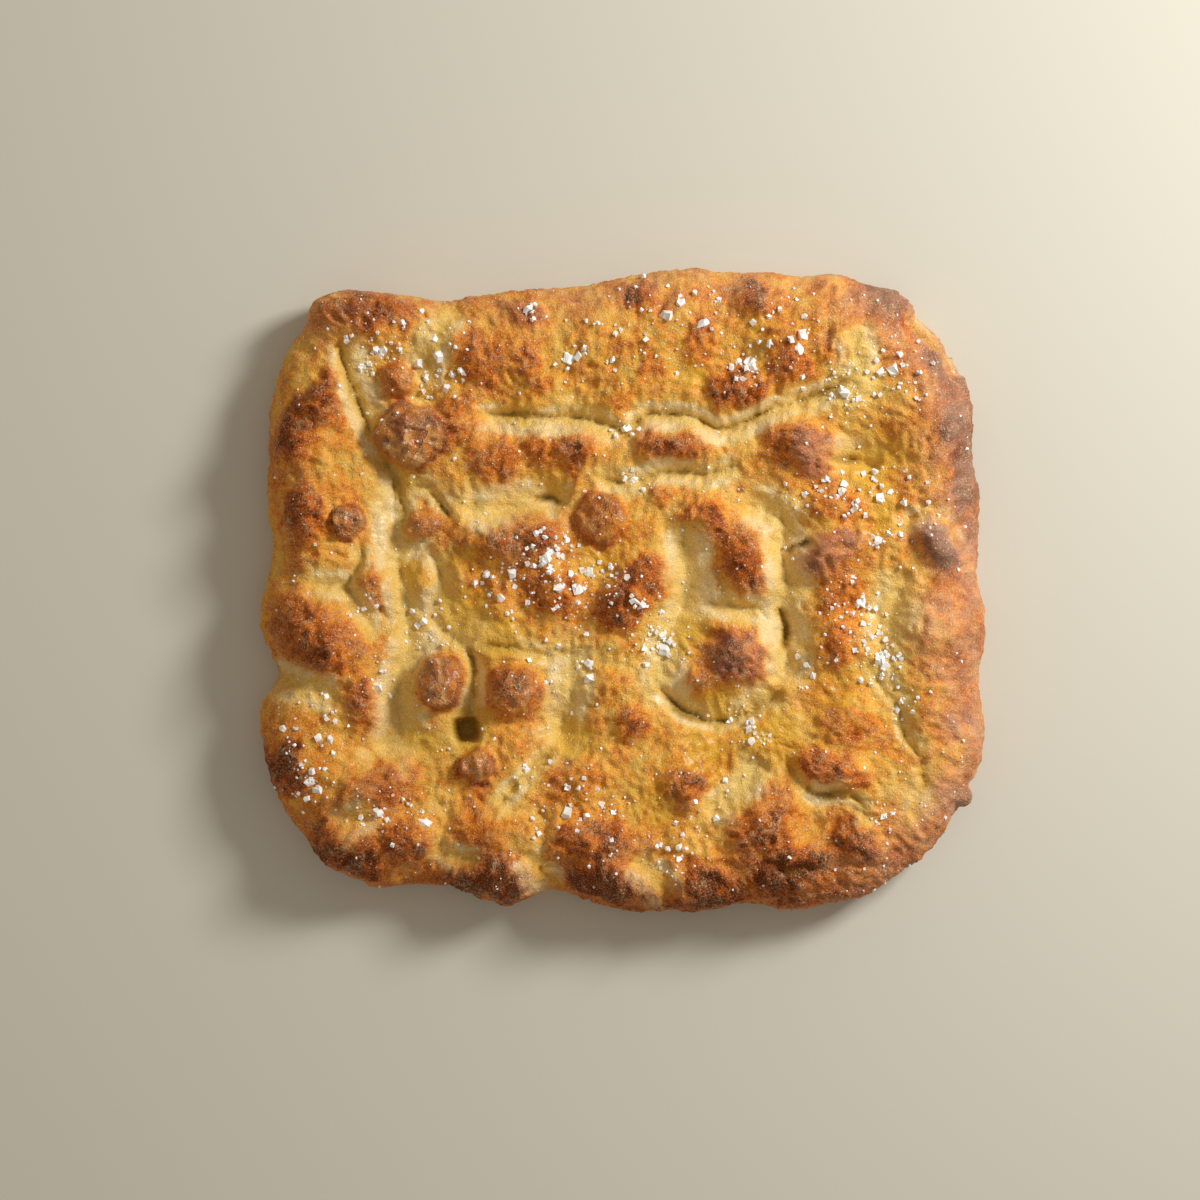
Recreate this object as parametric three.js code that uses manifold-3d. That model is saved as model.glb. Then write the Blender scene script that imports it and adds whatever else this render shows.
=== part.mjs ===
// A hand-shaped focaccia, whole and uncut, lying flat on its baked underside.
// It is one piece of bread: a rounded square of dough with a rolled rim, pressed all over by
// fingertips, with bubbles blown up in the crust between the dents and coarse salt baked on top.
// Millimetres, +Z up. The middle of the underside is the origin, +X the right and +Y the far side.
import * as THREE from "three";
import { mergeVertices } from "three/addons/utils/BufferGeometryUtils.js";
import Module from "manifold-3d";

// Driving dimensions of the loaf.
const TOP_HEIGHT = 28; // crust of the middle above the underside, before dents and bubbles
const RIM_RISE = 4; // how much higher the rolled rim stands
const RIM_INSET = 24; // from the outline in to the rim's crest
const RIM_SPREAD = 15; // half width of that crest
const ROLL = 19; // how far in the rounded side reaches over the top
const BULGE_HEIGHT = 12; // height at which the side reaches furthest out
const UNDERCUT = 9; // how far the side tucks in below the bulge
const SWELL = 0.5; // height of each low wave in the dough
const PLUMP = 1.4; // how far the oven's heat blew each bubble above its listed rise
const PINCH = 1.15; // how far each crease closed below its listed depth

// How finely the crust is divided.
const TOP_RINGS = 25;
const ROLL_STEPS = 5;
const UNDER_STEPS = 2;
const NARROWEST = 4; // half width of the narrowest fold that these faces can follow
const SOFTEN = 2.8; // reach of the averaging that keeps narrow folds even on these faces

// The outline seen from above, counter-clockwise from the middle of the right side.
const outline = [
  [142, 12], [141, 48], [136, 84], [117, 113], [97, 121], [48, 127.5], [10, 126], [-37, 119],
  [-69, 117], [-103, 119], [-121, 116], [-128, 102], [-142, 72], [-141, 52], [-142.5, 35],
  [-140.5, 15], [-144, -14], [-139.5, -33], [-144, -47], [-139, -74], [-129, -96], [-104, -116],
  [-79, -119.5], [-66, -117.5], [-50, -123.5], [-27, -122], [1, -128], [37, -125.5], [80, -126],
  [110, -114], [133, -90], [144, -58], [143, -28],
];

// Dents drawn through the dough by fingers, and folds between the pillows that they left: depth and
// half width of the valley, how much of it closes in a tight seam, how much wider it is on the left
// of its path, then the points that it runs through.
const creases = [
  // Left side: the long fold inside the rolled rim, the cracks beside it and across the rim.
  { depth: 12, width: 5, sharp: 0.7, lean: 0.3, path: [[-113, 100], [-108, 82], [-102, 68], [-96, 56],
    [-92, 46], [-90, 35]] },
  { depth: 10, width: 7, sharp: 0.3, lean: 0.2, path: [[-90, 38], [-90, 20], [-86, -5], [-85, -20],
    [-89, -40], [-89, -56], [-97, -66]] },
  { depth: 6, width: 4, sharp: 0.7, lean: 0, path: [[-91, 47], [-87, 36], [-85, 22]] },
  { depth: 8, width: 5, sharp: 0.4, lean: 0.5, path: [[-75, 15], [-73, 5], [-76, -8], [-73, -15],
    [-61, -24]] },
  { depth: 10, width: 3, sharp: 0.8, lean: 0, path: [[-60, -23], [-59, -38], [-61, -54]] },
  { depth: 4, width: 5, sharp: 0.3, lean: 0, path: [[-142, -35], [-124, -39], [-112, -43]] },
  { depth: 4, width: 4, sharp: 0.5, lean: 0, path: [[-125, 3], [-110, 1], [-103, -8], [-100, -22]] },
  { depth: 4, width: 3, sharp: 0.6, lean: 0, path: [[-103, 18], [-104, 9], [-110, 1]] },
  { depth: 4, width: 5, sharp: 0.3, lean: 0, path: [[-113, -94], [-100, -87]] },
  // Far side: the seam under the top band, from the left corner to the right one.
  { depth: 4, width: 5, sharp: 0.4, lean: 0, path: [[-67, 116], [-70, 106], [-76, 94], [-79, 78]] },
  { depth: 4, width: 4, sharp: 0.6, lean: 0, path: [[-83, 78], [-74, 75]] },
  { depth: 8, width: 5, sharp: 0.6, lean: -0.3, path: [[-58, 69], [-44, 70], [-33, 68], [-18, 69],
    [2, 63]] },
  { depth: 9, width: 4.5, sharp: 0.7, lean: -0.2, path: [[2, 63], [10, 70], [28, 69], [40, 64],
    [60, 72], [78, 78], [92, 86]] },
  { depth: 4, width: 6, sharp: 0.3, lean: 0, path: [[89, 105], [93, 94], [91, 84]] },
  // Middle: the second seam and the rings of dents round the large pillows.
  { depth: 9, width: 6, sharp: 0.4, lean: 0, path: [[-63, 33], [-52, 31], [-38, 35], [-29, 37],
    [-22, 34]] },
  { depth: 4, width: 3.5, sharp: 0.6, lean: 0, path: [[-85, 40], [-78, 41], [-70, 32]] },
  { depth: 6, width: 4.5, sharp: 0.6, lean: 0, path: [[-10, 45], [5, 43], [19, 47], [35, 46], [47, 50]] },
  { depth: 4, width: 3, sharp: 0.7, lean: 0, path: [[-59, -23], [-45, -22], [-30, -26], [-21, -24]] },
  { depth: 7, width: 6, sharp: 0.2, lean: 0, path: [[-20, -22], [-20, -36], [-23, -52], [-27, -63]] },
  { depth: 4, width: 3, sharp: 0.6, lean: 0, path: [[-27, -63], [-38, -74], [-50, -85]] },
  { depth: 8, width: 6, sharp: 0.25, lean: 0.2, path: [[24, 28], [25, 10], [24, -7], [17, -20],
    [14, -39]] },
  { depth: 11, width: 4.5, sharp: 0.8, lean: 0.4, path: [[14, -38], [22, -46], [34, -52], [50, -49],
    [63, -41]] },
  { depth: 9, width: 6, sharp: 0.4, lean: 0, path: [[64, -38], [66, -28], [64, -10], [66, 2],
    [64, 16], [65, 26], [57, 32], [47, 35]] },
  { depth: 12, width: 3, sharp: 0.9, lean: 0, path: [[62, -7], [65, -14], [65, -24]] },
  { depth: 6, width: 4, sharp: 0.5, lean: 0, path: [[28, -5], [46, -7], [61, -7]] },
  // Right side: short slits, the fold under the log-shaped bubble and the split along the rim.
  { depth: 5, width: 2.5, sharp: 0.9, lean: 0, path: [[66, 15], [75, 19]] },
  { depth: 9, width: 4, sharp: 0.8, lean: 0.5, path: [[84, 52], [94, 52], [102, 48]] },
  { depth: 4, width: 3, sharp: 0.6, lean: 0, path: [[109, 22], [118, 30], [128, 27], [133, 17]] },
  { depth: 3.5, width: 7, sharp: 0.2, lean: 0, path: [[112, 8], [109, -6], [101, -27]] },
  { depth: 4, width: 3, sharp: 0.7, lean: 0.3, path: [[98, -29], [105, -40], [109, -46], [112, -57],
    [118, -66]] },
  { depth: 3.5, width: 3, sharp: 0.6, lean: 0, path: [[118, -67], [119, -77], [113, -90]] },
  { depth: 6, width: 3, sharp: 0.7, lean: 0, path: [[73, -78], [79, -81], [88, -80]] },
  { depth: 3.5, width: 2.5, sharp: 0.7, lean: 0, path: [[90, -81], [95, -86], [96, -94]] },
  { depth: 6, width: 2.5, sharp: 0.95, lean: 0, path: [[116, 111], [123, 101], [129, 92], [133, 83]] },
  // Near side: valleys that run out over the front edge.
  { depth: 4, width: 4, sharp: 0.4, lean: 0, path: [[-75, -101], [-67, -106], [-56, -107]] },
  { depth: 6, width: 5, sharp: 0.4, lean: 0, path: [[-39, -104], [-33, -111], [-26, -122]] },
  { depth: 6, width: 5, sharp: 0.4, lean: 0, path: [[4, -106], [13, -114], [20, -122]] },
  { depth: 6, width: 5, sharp: 0.3, lean: 0, path: [[33, -88], [45, -81], [57, -68]] },
];

// Square-sided finger holes: [x, y, half width, depth, turn in degrees].
const holes = [[-61.5, -55.5, 6, 10, 8]];

// Hollows pressed straight down: [x, y, radius, depth].
const hollows = [
  [-62, -54, 9, 2], [-29, 37, 6, 4], [-23, -53, 8, 4], [101, 54, 15, 5], [-115, -57, 14, 3.5],
  [46, 102, 11, 3], [31, 84, 10, 2.5], [68, -71, 4, 5], [109, -58, 10, 2.5], [-58, -6, 12, 4],
  [68, -16, 5, 4],
];

// Bubbles raised in the crust: [x, y, half length, half width, turn in degrees, rise].
const bubbles = [
  // Far band.
  [-100, 110, 20, 8, 0, 2], [7, 117, 10, 6, -5, 2], [51, 115, 8, 6, 0, 2.5], [103, 115, 12, 7, -15, 2],
  [31, 97, 8, 10, 0, 1.5], [61, 99, 8, 6, -20, 1.5], [86, 98, 10, 9, 0, 2], [66, 88, 8, 7, 0, 3],
  [41, 79, 7, 7, 0, 3.5], [51, 81, 8, 8, 0, 3.5], [-57, 93, 13, 9, -35, 2], [-37, 88, 11, 6, -65, 2],
  [-89, 83, 7, 7, 0, 3.5], [-37, 110, 7, 5, 0, 1.5], [11, 90, 6, 4, 0, 1],
  // Second strip.
  [-84, 61, 14, 13, 0, 5], [-64, 66, 10, 11, 0, 2.5], [-50, 51, 14, 9, -50, 3], [-17, 58, 10, 8, 0, 4],
  [-31, 56, 9, 7, 0, 2], [13, 58, 9, 8, 0, 3.5], [27, 57, 10, 8, 0, 4], [66, 60, 11, 10, 0, 3.8],
  [77, 55, 11, 10, 0, 3.8], [-115, 75, 13, 8, 75, 3], [-131, 60, 12, 8, 80, 1.5],
  // Middle strip.
  [-125, 29, 12, 9, 80, 3], [-108, 27, 6, 7, 0, 3], [-80, 26, 8, 6, 20, 3], [-96, 1, 11, 8, -45, 4],
  [-80, 2, 7, 8, 0, 3], [-64, 5, 6, 8, 0, 2.5], [-54, 20, 9, 10, 0, 4], [-38, 20, 14, 11, 10, 4.5],
  [-28, 0, 11, 11, 0, 3.5], [-50, -5, 6, 9, 0, 2], [-8, 29, 10, 10, 0, 3.5], [9, 3, 15, 11, 15, 5.5],
  [-1, -7, 10, 9, 0, 4], [15, 38, 6, 5, 0, 2.5], [32, 28, 11, 10, 0, 4.5], [47, 18, 9, 10, 0, 3.5],
  [53, 7, 12, 12, -30, 5], [48, -26, 14, 12, 20, 6], [30, -36, 9, 7, -20, 3], [40, -13, 9, 6, 0, 2],
  // Right side.
  [82, 15, 17, 9, 22, 5], [125, 20, 12, 8, -60, 4.5], [123, -15, 13, 13, 0, 3], [83, 33, 12, 7, 5, 2],
  [87, 0, 10, 10, 0, 2], [88, -20, 12, 11, 0, 3], [90, -53, 13, 10, 0, 3], [79, -71, 10, 7, -25, 3.6],
  [91, -74, 8, 7, 0, 3.2], [138, -82, 4, 3, 60, 3], [134, 52, 8, 22, 5, 1], [128, 90, 9, 15, 30, 1],
  // Left side and its corner.
  [-127, -16, 16, 15, 0, 4], [-111, -25, 13, 12, 0, 4.5], [-101, -47, 8, 12, 0, 4],
  [-92, -22, 5, 14, -12, 2], [-72, -37, 10, 11, 0, 5], [-43, -41, 12, 10, -15, 5],
  [-57, -69, 7, 7, 0, 3.5], [-89, -74, 12, 9, 0, 3.5], [-101, -80, 11, 9, 0, 3],
  [-134, -70, 9, 14, -10, 2],
  // Near strip.
  [-110, -101, 18, 10, -30, 4], [-85, -98, 11, 9, 0, 3], [-57, -94, 14, 9, 0, 3],
  [-47, -114, 19, 8, 0, 3], [-18, -74, 13, 8, 0, 2.5], [4, -52, 9, 7, 0, 3], [-6, -38, 11, 7, 0, 2],
  [-12, -99, 19, 9, 0, 3], [-3, -115, 18, 8, -5, 3.5], [27, -79, 11, 9, 0, 4], [54, -90, 17, 16, 0, 5.5],
  [67, -110, 17, 9, 15, 4], [92, -98, 13, 8, -35, 3.5], [27, -118, 21, 8, 0, 3],
];

// Coarse salt lies in drifts, most of it in dents: [x, y, spread, flakes].
const drifts = [
  [-99, 95, 5, 3], [-78, 92, 9, 3], [-69, 81, 2, 1], [-37, 110, 1, 1], [-15, 93, 7, 2], [21, 106, 12, 3],
  [49, 90, 4, 2], [67, 95, 10, 3], [90, 78, 5, 3], [109, 88, 8, 3], [2, 64, 2, 1], [6, 43, 2, 1],
  [71, 38, 3, 1], [89, 39, 4, 2], [109, 34, 8, 3], [102, 20, 2, 1], [-29, 15, 4, 4], [-20, 4, 9, 5],
  [-45, 2, 7, 3], [5, -2, 6, 2], [16, -20, 5, 3], [92, -6, 5, 3], [99, -17, 4, 2], [101, -29, 4, 3],
  [108, -45, 5, 1], [50, -57, 4, 2], [-77, -13, 5, 2], [-103, -7, 2, 1], [-120, -56, 7, 2], [-123, -77, 4, 2],
  [-92, -89, 5, 2], [-77, -90, 4, 1], [-37, -69, 4, 1], [-16, -87, 11, 4], [24, -103, 5, 2], [31, -82, 5, 1],
  [-15, -24, 14, 2], [-97, -38, 2, 1], [77, -32, 4, 1], [102, -89, 2, 1],
];
const FLAKE_RADIUS = 2.2;
const FLAKE_HEIGHT = 2.2;

const GOLDEN_ANGLE = Math.PI * (3 - Math.sqrt(5));
const gauss = (ratio) => Math.exp(-ratio * ratio);

// Repeatable random numbers from 0 to 1.
function seeded(seed) {
  let state = seed;
  return () => {
    state = (state * 16807) % 2147483647;
    return state / 2147483647;
  };
}

// The outline's radius at an angle: one smooth curve through its points.
const rimPoints = outline
  .map(([x, y]) => ({ angle: Math.atan2(y, x), radius: Math.hypot(x, y) }))
  .sort((a, b) => a.angle - b.angle);

function rimPoint(index) {
  const count = rimPoints.length;
  const turns = Math.floor(index / count);
  const point = rimPoints[index - turns * count];
  return { angle: point.angle + turns * 2 * Math.PI, radius: point.radius };
}

function outlineRadius(angle) {
  const turned = Math.atan2(Math.sin(angle), Math.cos(angle));
  let after = rimPoints.findIndex((point) => point.angle > turned);
  if (after < 0) after = rimPoints.length;
  const [p0, p1, p2, p3] = [-2, -1, 0, 1].map((shift) => rimPoint(after + shift));
  const span = p2.angle - p1.angle;
  const slope1 = ((p2.radius - p0.radius) / (p2.angle - p0.angle)) * span;
  const slope2 = ((p3.radius - p1.radius) / (p3.angle - p1.angle)) * span;
  const t = (turned - p1.angle) / span;
  return (
    p1.radius * (2 * t ** 3 - 3 * t ** 2 + 1) +
    slope1 * (t ** 3 - 2 * t ** 2 + t) +
    p2.radius * (3 * t ** 2 - 2 * t ** 3) +
    slope2 * (t ** 3 - t ** 2)
  );
}

// Each crease as short straight steps along a smooth curve.
const CREASE_STEPS = 20;
const valleys = creases.map(({ path, ...sizes }) => {
  const curve = new THREE.SplineCurve(path.map(([x, y]) => new THREE.Vector2(x, y)));
  const box = new THREE.Box2().setFromPoints(curve.points).expandByScalar(5 * sizes.width);
  return { ...sizes, box, steps: curve.getPoints(CREASE_STEPS) };
});

// Depth of one crease at a point: full along its length, shallow at both ends.
function valleyDepth({ depth, width, sharp, lean, box, steps }, x, y) {
  if (!box.containsPoint({ x, y })) return 0;
  let nearest = Infinity;
  let along = 0;
  let side = 1;
  for (let i = 0; i < CREASE_STEPS; i++) {
    const [a, b] = [steps[i], steps[i + 1]];
    const [dx, dy] = [b.x - a.x, b.y - a.y];
    const t = THREE.MathUtils.clamp(((x - a.x) * dx + (y - a.y) * dy) / (dx * dx + dy * dy), 0, 1);
    const distance = Math.hypot(x - a.x - t * dx, y - a.y - t * dy);
    if (distance < nearest) {
      [nearest, along] = [distance, (i + t) / CREASE_STEPS];
      side = Math.sign(dx * (y - a.y) - dy * (x - a.x));
    }
  }
  const fade = 1 - 0.7 * (2 * along - 1) ** 6;
  const reach = nearest / (Math.max(width, NARROWEST) * (1 + lean * side));
  const soft = (1 - sharp) * Math.exp(-((reach / 1.6) ** 1.3));
  const tight = sharp * 0.9 * Math.exp(-reach / 1.2);
  return PINCH * depth * fade * (soft + tight);
}

// Depth of one finger hole, whose plan is a square with round corners and whose lip slopes in.
function holeDepth([hx, hy, half, depth, turn], x, y) {
  const [c, s] = [Math.cos(THREE.MathUtils.degToRad(turn)), Math.sin(THREE.MathUtils.degToRad(turn))];
  const [dx, dy] = [(c * (x - hx) + s * (y - hy)) / half, (c * (y - hy) - s * (x - hx)) / half];
  return depth * Math.exp(-0.7 * (dx ** 4 + dy ** 4) ** 0.6);
}

// How far the crust stands off the plain loaf at a point seen from above.
function exactRelief(x, y) {
  let raised = 0;
  for (let i = 0; i < 6; i++) {
    const wave = (2 * Math.PI) / (64 - 8 * i);
    const heading = i * GOLDEN_ANGLE;
    raised += SWELL * Math.sin(wave * (x * Math.cos(heading) + y * Math.sin(heading)) + i * i);
  }
  for (const [bx, by, long, short, turn, rise] of bubbles) {
    const [c, s] = [Math.cos(THREE.MathUtils.degToRad(turn)), Math.sin(THREE.MathUtils.degToRad(turn))];
    const ratio = Math.hypot((c * (x - bx) + s * (y - by)) / long, (c * (y - by) - s * (x - bx)) / short);
    if (ratio < 1.28) raised += PLUMP * rise * (1 - (ratio / 1.28) ** 2) ** 1.4;
  }
  for (const [hx, hy, radius, depth] of hollows) raised -= depth * gauss(Math.hypot(x - hx, y - hy) / radius);
  // Where creases or holes meet, the deeper one wins and they don't add up.
  const depths = valleys.map((valley) => valleyDepth(valley, x, y));
  depths.push(...holes.map((hole) => holeDepth(hole, x, y)));
  const fourth = depths.reduce((sum, depth) => sum + depth ** 4, 0);
  return raised - fourth ** 0.25;
}

// The same, averaged over a few points close by.
function relief(x, y) {
  let sum = 2 * exactRelief(x, y);
  for (let i = 0; i < 8; i++) {
    const [angle, distance] = [(i * Math.PI) / 4, i % 2 ? 1.4 * SOFTEN : SOFTEN];
    sum += exactRelief(x + distance * Math.cos(angle), y + distance * Math.sin(angle));
  }
  return sum / 10;
}

// Height of the plain loaf's top, which swells into the rolled rim near the outline.
function plainHeight(inset) {
  return TOP_HEIGHT + RIM_RISE * gauss((inset - RIM_INSET) / RIM_SPREAD);
}

// A point of the crust. The tilt is 90 degrees on the top, 0 where the side bulges out and -90
// where it meets the underside. The share runs from the middle of the top to where the side begins.
function crustPoint(angle, share, tilt) {
  const radius = outlineRadius(angle);
  const reach = tilt < 0 ? UNDERCUT : ROLL;
  const plan = tilt === Math.PI / 2 ? share * (radius - ROLL) : radius - reach * (1 - Math.cos(tilt));
  const top = plainHeight(radius - plan);
  const rise = tilt < 0 ? BULGE_HEIGHT : top - BULGE_HEIGHT;
  const height = BULGE_HEIGHT + rise * Math.sin(tilt);
  const outward = new THREE.Vector2(Math.cos(tilt) / reach, Math.sin(tilt) / rise).normalize();
  const kept = tilt < 0 ? (height / BULGE_HEIGHT) ** 2 : 1;
  const offset = kept * relief(plan * Math.cos(angle), plan * Math.sin(angle));
  const reached = plan + outward.x * offset;
  return [reached * Math.cos(angle), reached * Math.sin(angle), Math.max(0, height + outward.y * offset)];
}

// The angles of one ring of a square grid, so that the faces stay even from the middle outwards.
function ringAngles(ring) {
  const angles = [];
  for (let side = 0; side < 4; side++)
    for (let step = 0; step < 2 * ring; step++)
      angles.push(Math.atan2(step - ring, ring) + (side * Math.PI) / 2);
  return angles;
}

// The whole loaf as one closed skin.
function loafGeometry() {
  const places = [crustPoint(0, 0, Math.PI / 2)];
  const faces = [];
  const starts = [0];
  const quad = (a, b, c, d) => faces.push(a, b, c, a, c, d);
  const addRing = (points) => {
    starts.push(places.length);
    places.push(...points);
  };

  // The top, ring by ring.
  for (let ring = 1; ring <= TOP_RINGS; ring++) {
    addRing(ringAngles(ring).map((angle) => crustPoint(angle, ring / TOP_RINGS, Math.PI / 2)));
    const inner = (side, step) =>
      ring === 1 ? 0 : starts[ring - 1] + ((side * 2 * (ring - 1) + step) % (8 * (ring - 1)));
    const outer = (side, step) => starts[ring] + ((side * 2 * ring + step + 8 * ring) % (8 * ring));
    for (let side = 0; side < 4; side++) {
      quad(outer(side, -1), outer(side, 0), outer(side, 1), inner(side, 0));
      for (let step = 0; step < 2 * (ring - 1); step++)
        quad(outer(side, step + 1), outer(side, step + 2), inner(side, step + 1), inner(side, step));
    }
  }

  // The rounded side, down to the underside.
  const around = 8 * TOP_RINGS;
  const tilts = [];
  for (let step = 1; step <= ROLL_STEPS; step++) tilts.push((Math.PI / 2) * (1 - step / ROLL_STEPS));
  for (let step = 1; step <= UNDER_STEPS; step++) tilts.push((-Math.PI / 2) * (step / UNDER_STEPS));
  for (const tilt of tilts) {
    const above = starts.at(-1);
    addRing(ringAngles(TOP_RINGS).map((angle) => crustPoint(angle, 1, tilt)));
    for (let i = 0; i < around; i++) {
      const next = (i + 1) % around;
      quad(above + i, starts.at(-1) + i, starts.at(-1) + next, above + next);
    }
  }

  // The flat underside, whose rings have half as many points each time.
  let edge = starts.at(-1);
  for (let count = around / 2; count >= around / 8; count /= 2) {
    const shrink = count / around;
    addRing(
      Array.from({ length: count }, (_, i) => {
        const [x, y] = places[starts[TOP_RINGS + tilts.length] + (i * around) / count];
        return [1.6 * shrink * x, 1.6 * shrink * y, 0];
      }),
    );
    const inside = starts.at(-1);
    for (let i = 0; i < count; i++) {
      const [near, far] = [inside + i, inside + ((i + 1) % count)];
      const [first, middle, last] = [0, 1, 2].map((step) => edge + ((2 * i + step) % (2 * count)));
      faces.push(first, near, middle, middle, near, far, middle, far, last);
    }
    edge = inside;
  }
  const centre = places.push([0, 0, 0]) - 1;
  for (let i = 0; i < around / 8; i++) faces.push(edge + i, centre, edge + ((i + 1) % (around / 8)));

  const geometry = new THREE.BufferGeometry();
  geometry.setAttribute("position", new THREE.Float32BufferAttribute(places.flat(), 3));
  geometry.setIndex(faces);
  return geometry;
}

// One salt flake: a low pyramid of salt with its tip cut off, turned and tipped as it fell.
function flakeGeometry(spot, normal, random) {
  const size = 0.75 + 0.6 * random();
  const flake = new THREE.CylinderGeometry(
    0.62 * FLAKE_RADIUS * size,
    FLAKE_RADIUS * size,
    FLAKE_HEIGHT,
    random() < 0.5 ? 4 : 5,
  );
  const lie = new THREE.Quaternion().setFromUnitVectors(new THREE.Vector3(0, 1, 0), normal);
  flake.rotateY(2 * Math.PI * random());
  flake.rotateX(0.5 * (random() - 0.5));
  flake.applyQuaternion(lie);
  flake.translate(spot.x, spot.y, spot.z);
  return flake;
}

// Where a flake that falls at x, y comes to lie on the crust, and the slope there.
function landing(crust, x, y) {
  const drop = new THREE.Raycaster(new THREE.Vector3(x, y, 3 * TOP_HEIGHT), new THREE.Vector3(0, 0, -1));
  const [hit] = drop.intersectObject(crust);
  return { spot: hit.point, normal: hit.face.normal.clone() };
}

function saltFlakes(crust) {
  const random = seeded(71);
  const flakes = [];
  for (const [x, y, spread, count] of drifts)
    for (let i = 0; i < count; i++) {
      const distance = spread * Math.sqrt((i + 0.3) / count);
      const heading = i * GOLDEN_ANGLE + 2 * Math.PI * random();
      const { spot, normal } = landing(
        crust,
        x + distance * Math.cos(heading),
        y + distance * Math.sin(heading),
      );
      flakes.push(flakeGeometry(spot, normal, random));
    }
  return flakes;
}

const wasm = await Module();
wasm.setup();

function toSolid(geometry) {
  const bare = new THREE.BufferGeometry().setAttribute("position", geometry.getAttribute("position"));
  bare.setIndex(geometry.getIndex());
  const merged = mergeVertices(bare, 1e-4);
  return new wasm.Manifold(
    new wasm.Mesh({
      numProp: 3,
      vertProperties: new Float32Array(merged.getAttribute("position").array),
      triVerts: new Uint32Array(merged.getIndex().array),
    }),
  );
}

function toGeometry(solid) {
  const { vertProperties, triVerts } = solid.getMesh();
  const geometry = new THREE.BufferGeometry();
  geometry.setAttribute("position", new THREE.BufferAttribute(vertProperties, 3));
  geometry.setIndex(new THREE.BufferAttribute(triVerts, 1));
  return geometry;
}

// Bread and salt are one solid, because the salt is baked onto the crust.
function bakedLoaf() {
  const skin = loafGeometry();
  const crust = new THREE.Mesh(skin);
  const salt = saltFlakes(crust).map(toSolid);
  const solid = salt.reduce((loaf, flake) => loaf.add(flake), toSolid(skin));
  const geometry = toGeometry(solid);
  geometry.computeBoundingBox();
  const middle = geometry.boundingBox.getCenter(new THREE.Vector3());
  return geometry.translate(-middle.x, -middle.y, 0);
}

function crustMaterial() {
  return new THREE.MeshStandardMaterial({ color: 0xd79a4c, roughness: 0.55, metalness: 0 });
}

const focaccia = new THREE.Mesh(bakedLoaf(), crustMaterial());
focaccia.name = "focaccia";

const loaf = new THREE.Group();
loaf.add(focaccia);

export default loaf;
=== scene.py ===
"""Looks of a whole hand-shaped focaccia with coarse salt, in a plain studio.

The bread is rebuilt from the same sizes as its solid, at about a millimetre between points, with
the folds, blisters and wrinkles that a baked crust has. Sizes are in millimetres until a mesh is
made, which is in metres. X runs to the right of the bread, Y to its far side and Z up.
"""

import logging
import math
from dataclasses import dataclass, field
from enum import Enum
from typing import ClassVar

import bpy
import numpy as np
from mathutils import Matrix, Vector, noise
from mathutils.bvhtree import BVHTree


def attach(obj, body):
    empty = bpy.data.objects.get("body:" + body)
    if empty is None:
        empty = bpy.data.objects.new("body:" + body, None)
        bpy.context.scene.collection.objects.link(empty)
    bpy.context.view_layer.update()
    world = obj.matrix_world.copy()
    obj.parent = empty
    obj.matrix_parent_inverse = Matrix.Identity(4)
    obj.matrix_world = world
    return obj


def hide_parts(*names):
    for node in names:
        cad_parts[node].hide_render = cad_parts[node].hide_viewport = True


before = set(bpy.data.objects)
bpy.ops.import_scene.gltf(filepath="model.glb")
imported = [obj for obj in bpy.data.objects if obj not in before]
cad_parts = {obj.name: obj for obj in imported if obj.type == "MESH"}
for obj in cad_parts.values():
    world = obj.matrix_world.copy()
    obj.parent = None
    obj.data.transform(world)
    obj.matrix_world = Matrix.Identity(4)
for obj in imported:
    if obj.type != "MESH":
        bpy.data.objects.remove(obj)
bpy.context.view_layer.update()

log = logging.getLogger("focaccia")

Array = np.ndarray
Colour = tuple[float, float, float]
Stops = tuple[tuple[float, Colour], ...]
Socket = bpy.types.NodeSocket
Random = np.random.Generator
Landing = tuple[Vector, Vector] | None
MM = 0.001
GOLDEN_ANGLE = math.pi * (3 - math.sqrt(5))

# Factor and range of the repeatable numbers that the solid's flakes are drawn with.
DRAW_FACTOR = 16807
DRAW_RANGE = 2147483647


def gauss(ratio: Array) -> Array:
    """Bell curve that is 1 at zero."""
    return np.exp(-ratio * ratio)


def smooth(low: float, high: float, value: Array) -> Array:
    """Eased step.

    Args:
        low: value at which the step starts, where the result is 0.
        high: value at which it ends, where the result is 1.
        value: numbers to ease.

    Returns:
        Shares from 0 to 1.
    """
    share = np.clip((value - low) / (high - low), 0, 1)
    return share * share * (3 - 2 * share)


def between(start: Array, end: Array, leave: Array, arrive: Array, t: Array) -> Array:
    """Smooth curve from one value or point to the next.

    Args:
        start: where it starts.
        end: where it ends.
        leave: slope at its start, over the whole stretch.
        arrive: slope at its end.
        t: how far along, from 0 to 1.

    Returns:
        The value or point there.
    """
    return (
        start * (2 * t**3 - 3 * t**2 + 1)
        + leave * (t**3 - 2 * t**2 + t)
        + end * (3 * t**2 - 2 * t**3)
        + arrive * (t**3 - t**2)
    )


class Grain(Enum):
    """Kinds of noise that shape or colour the crust."""

    LUMPS = "lumps"
    RAGGED = "ragged"
    WRINKLES = "wrinkles"
    CREASED = "creased"
    COBBLES = "cobbles"


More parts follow.
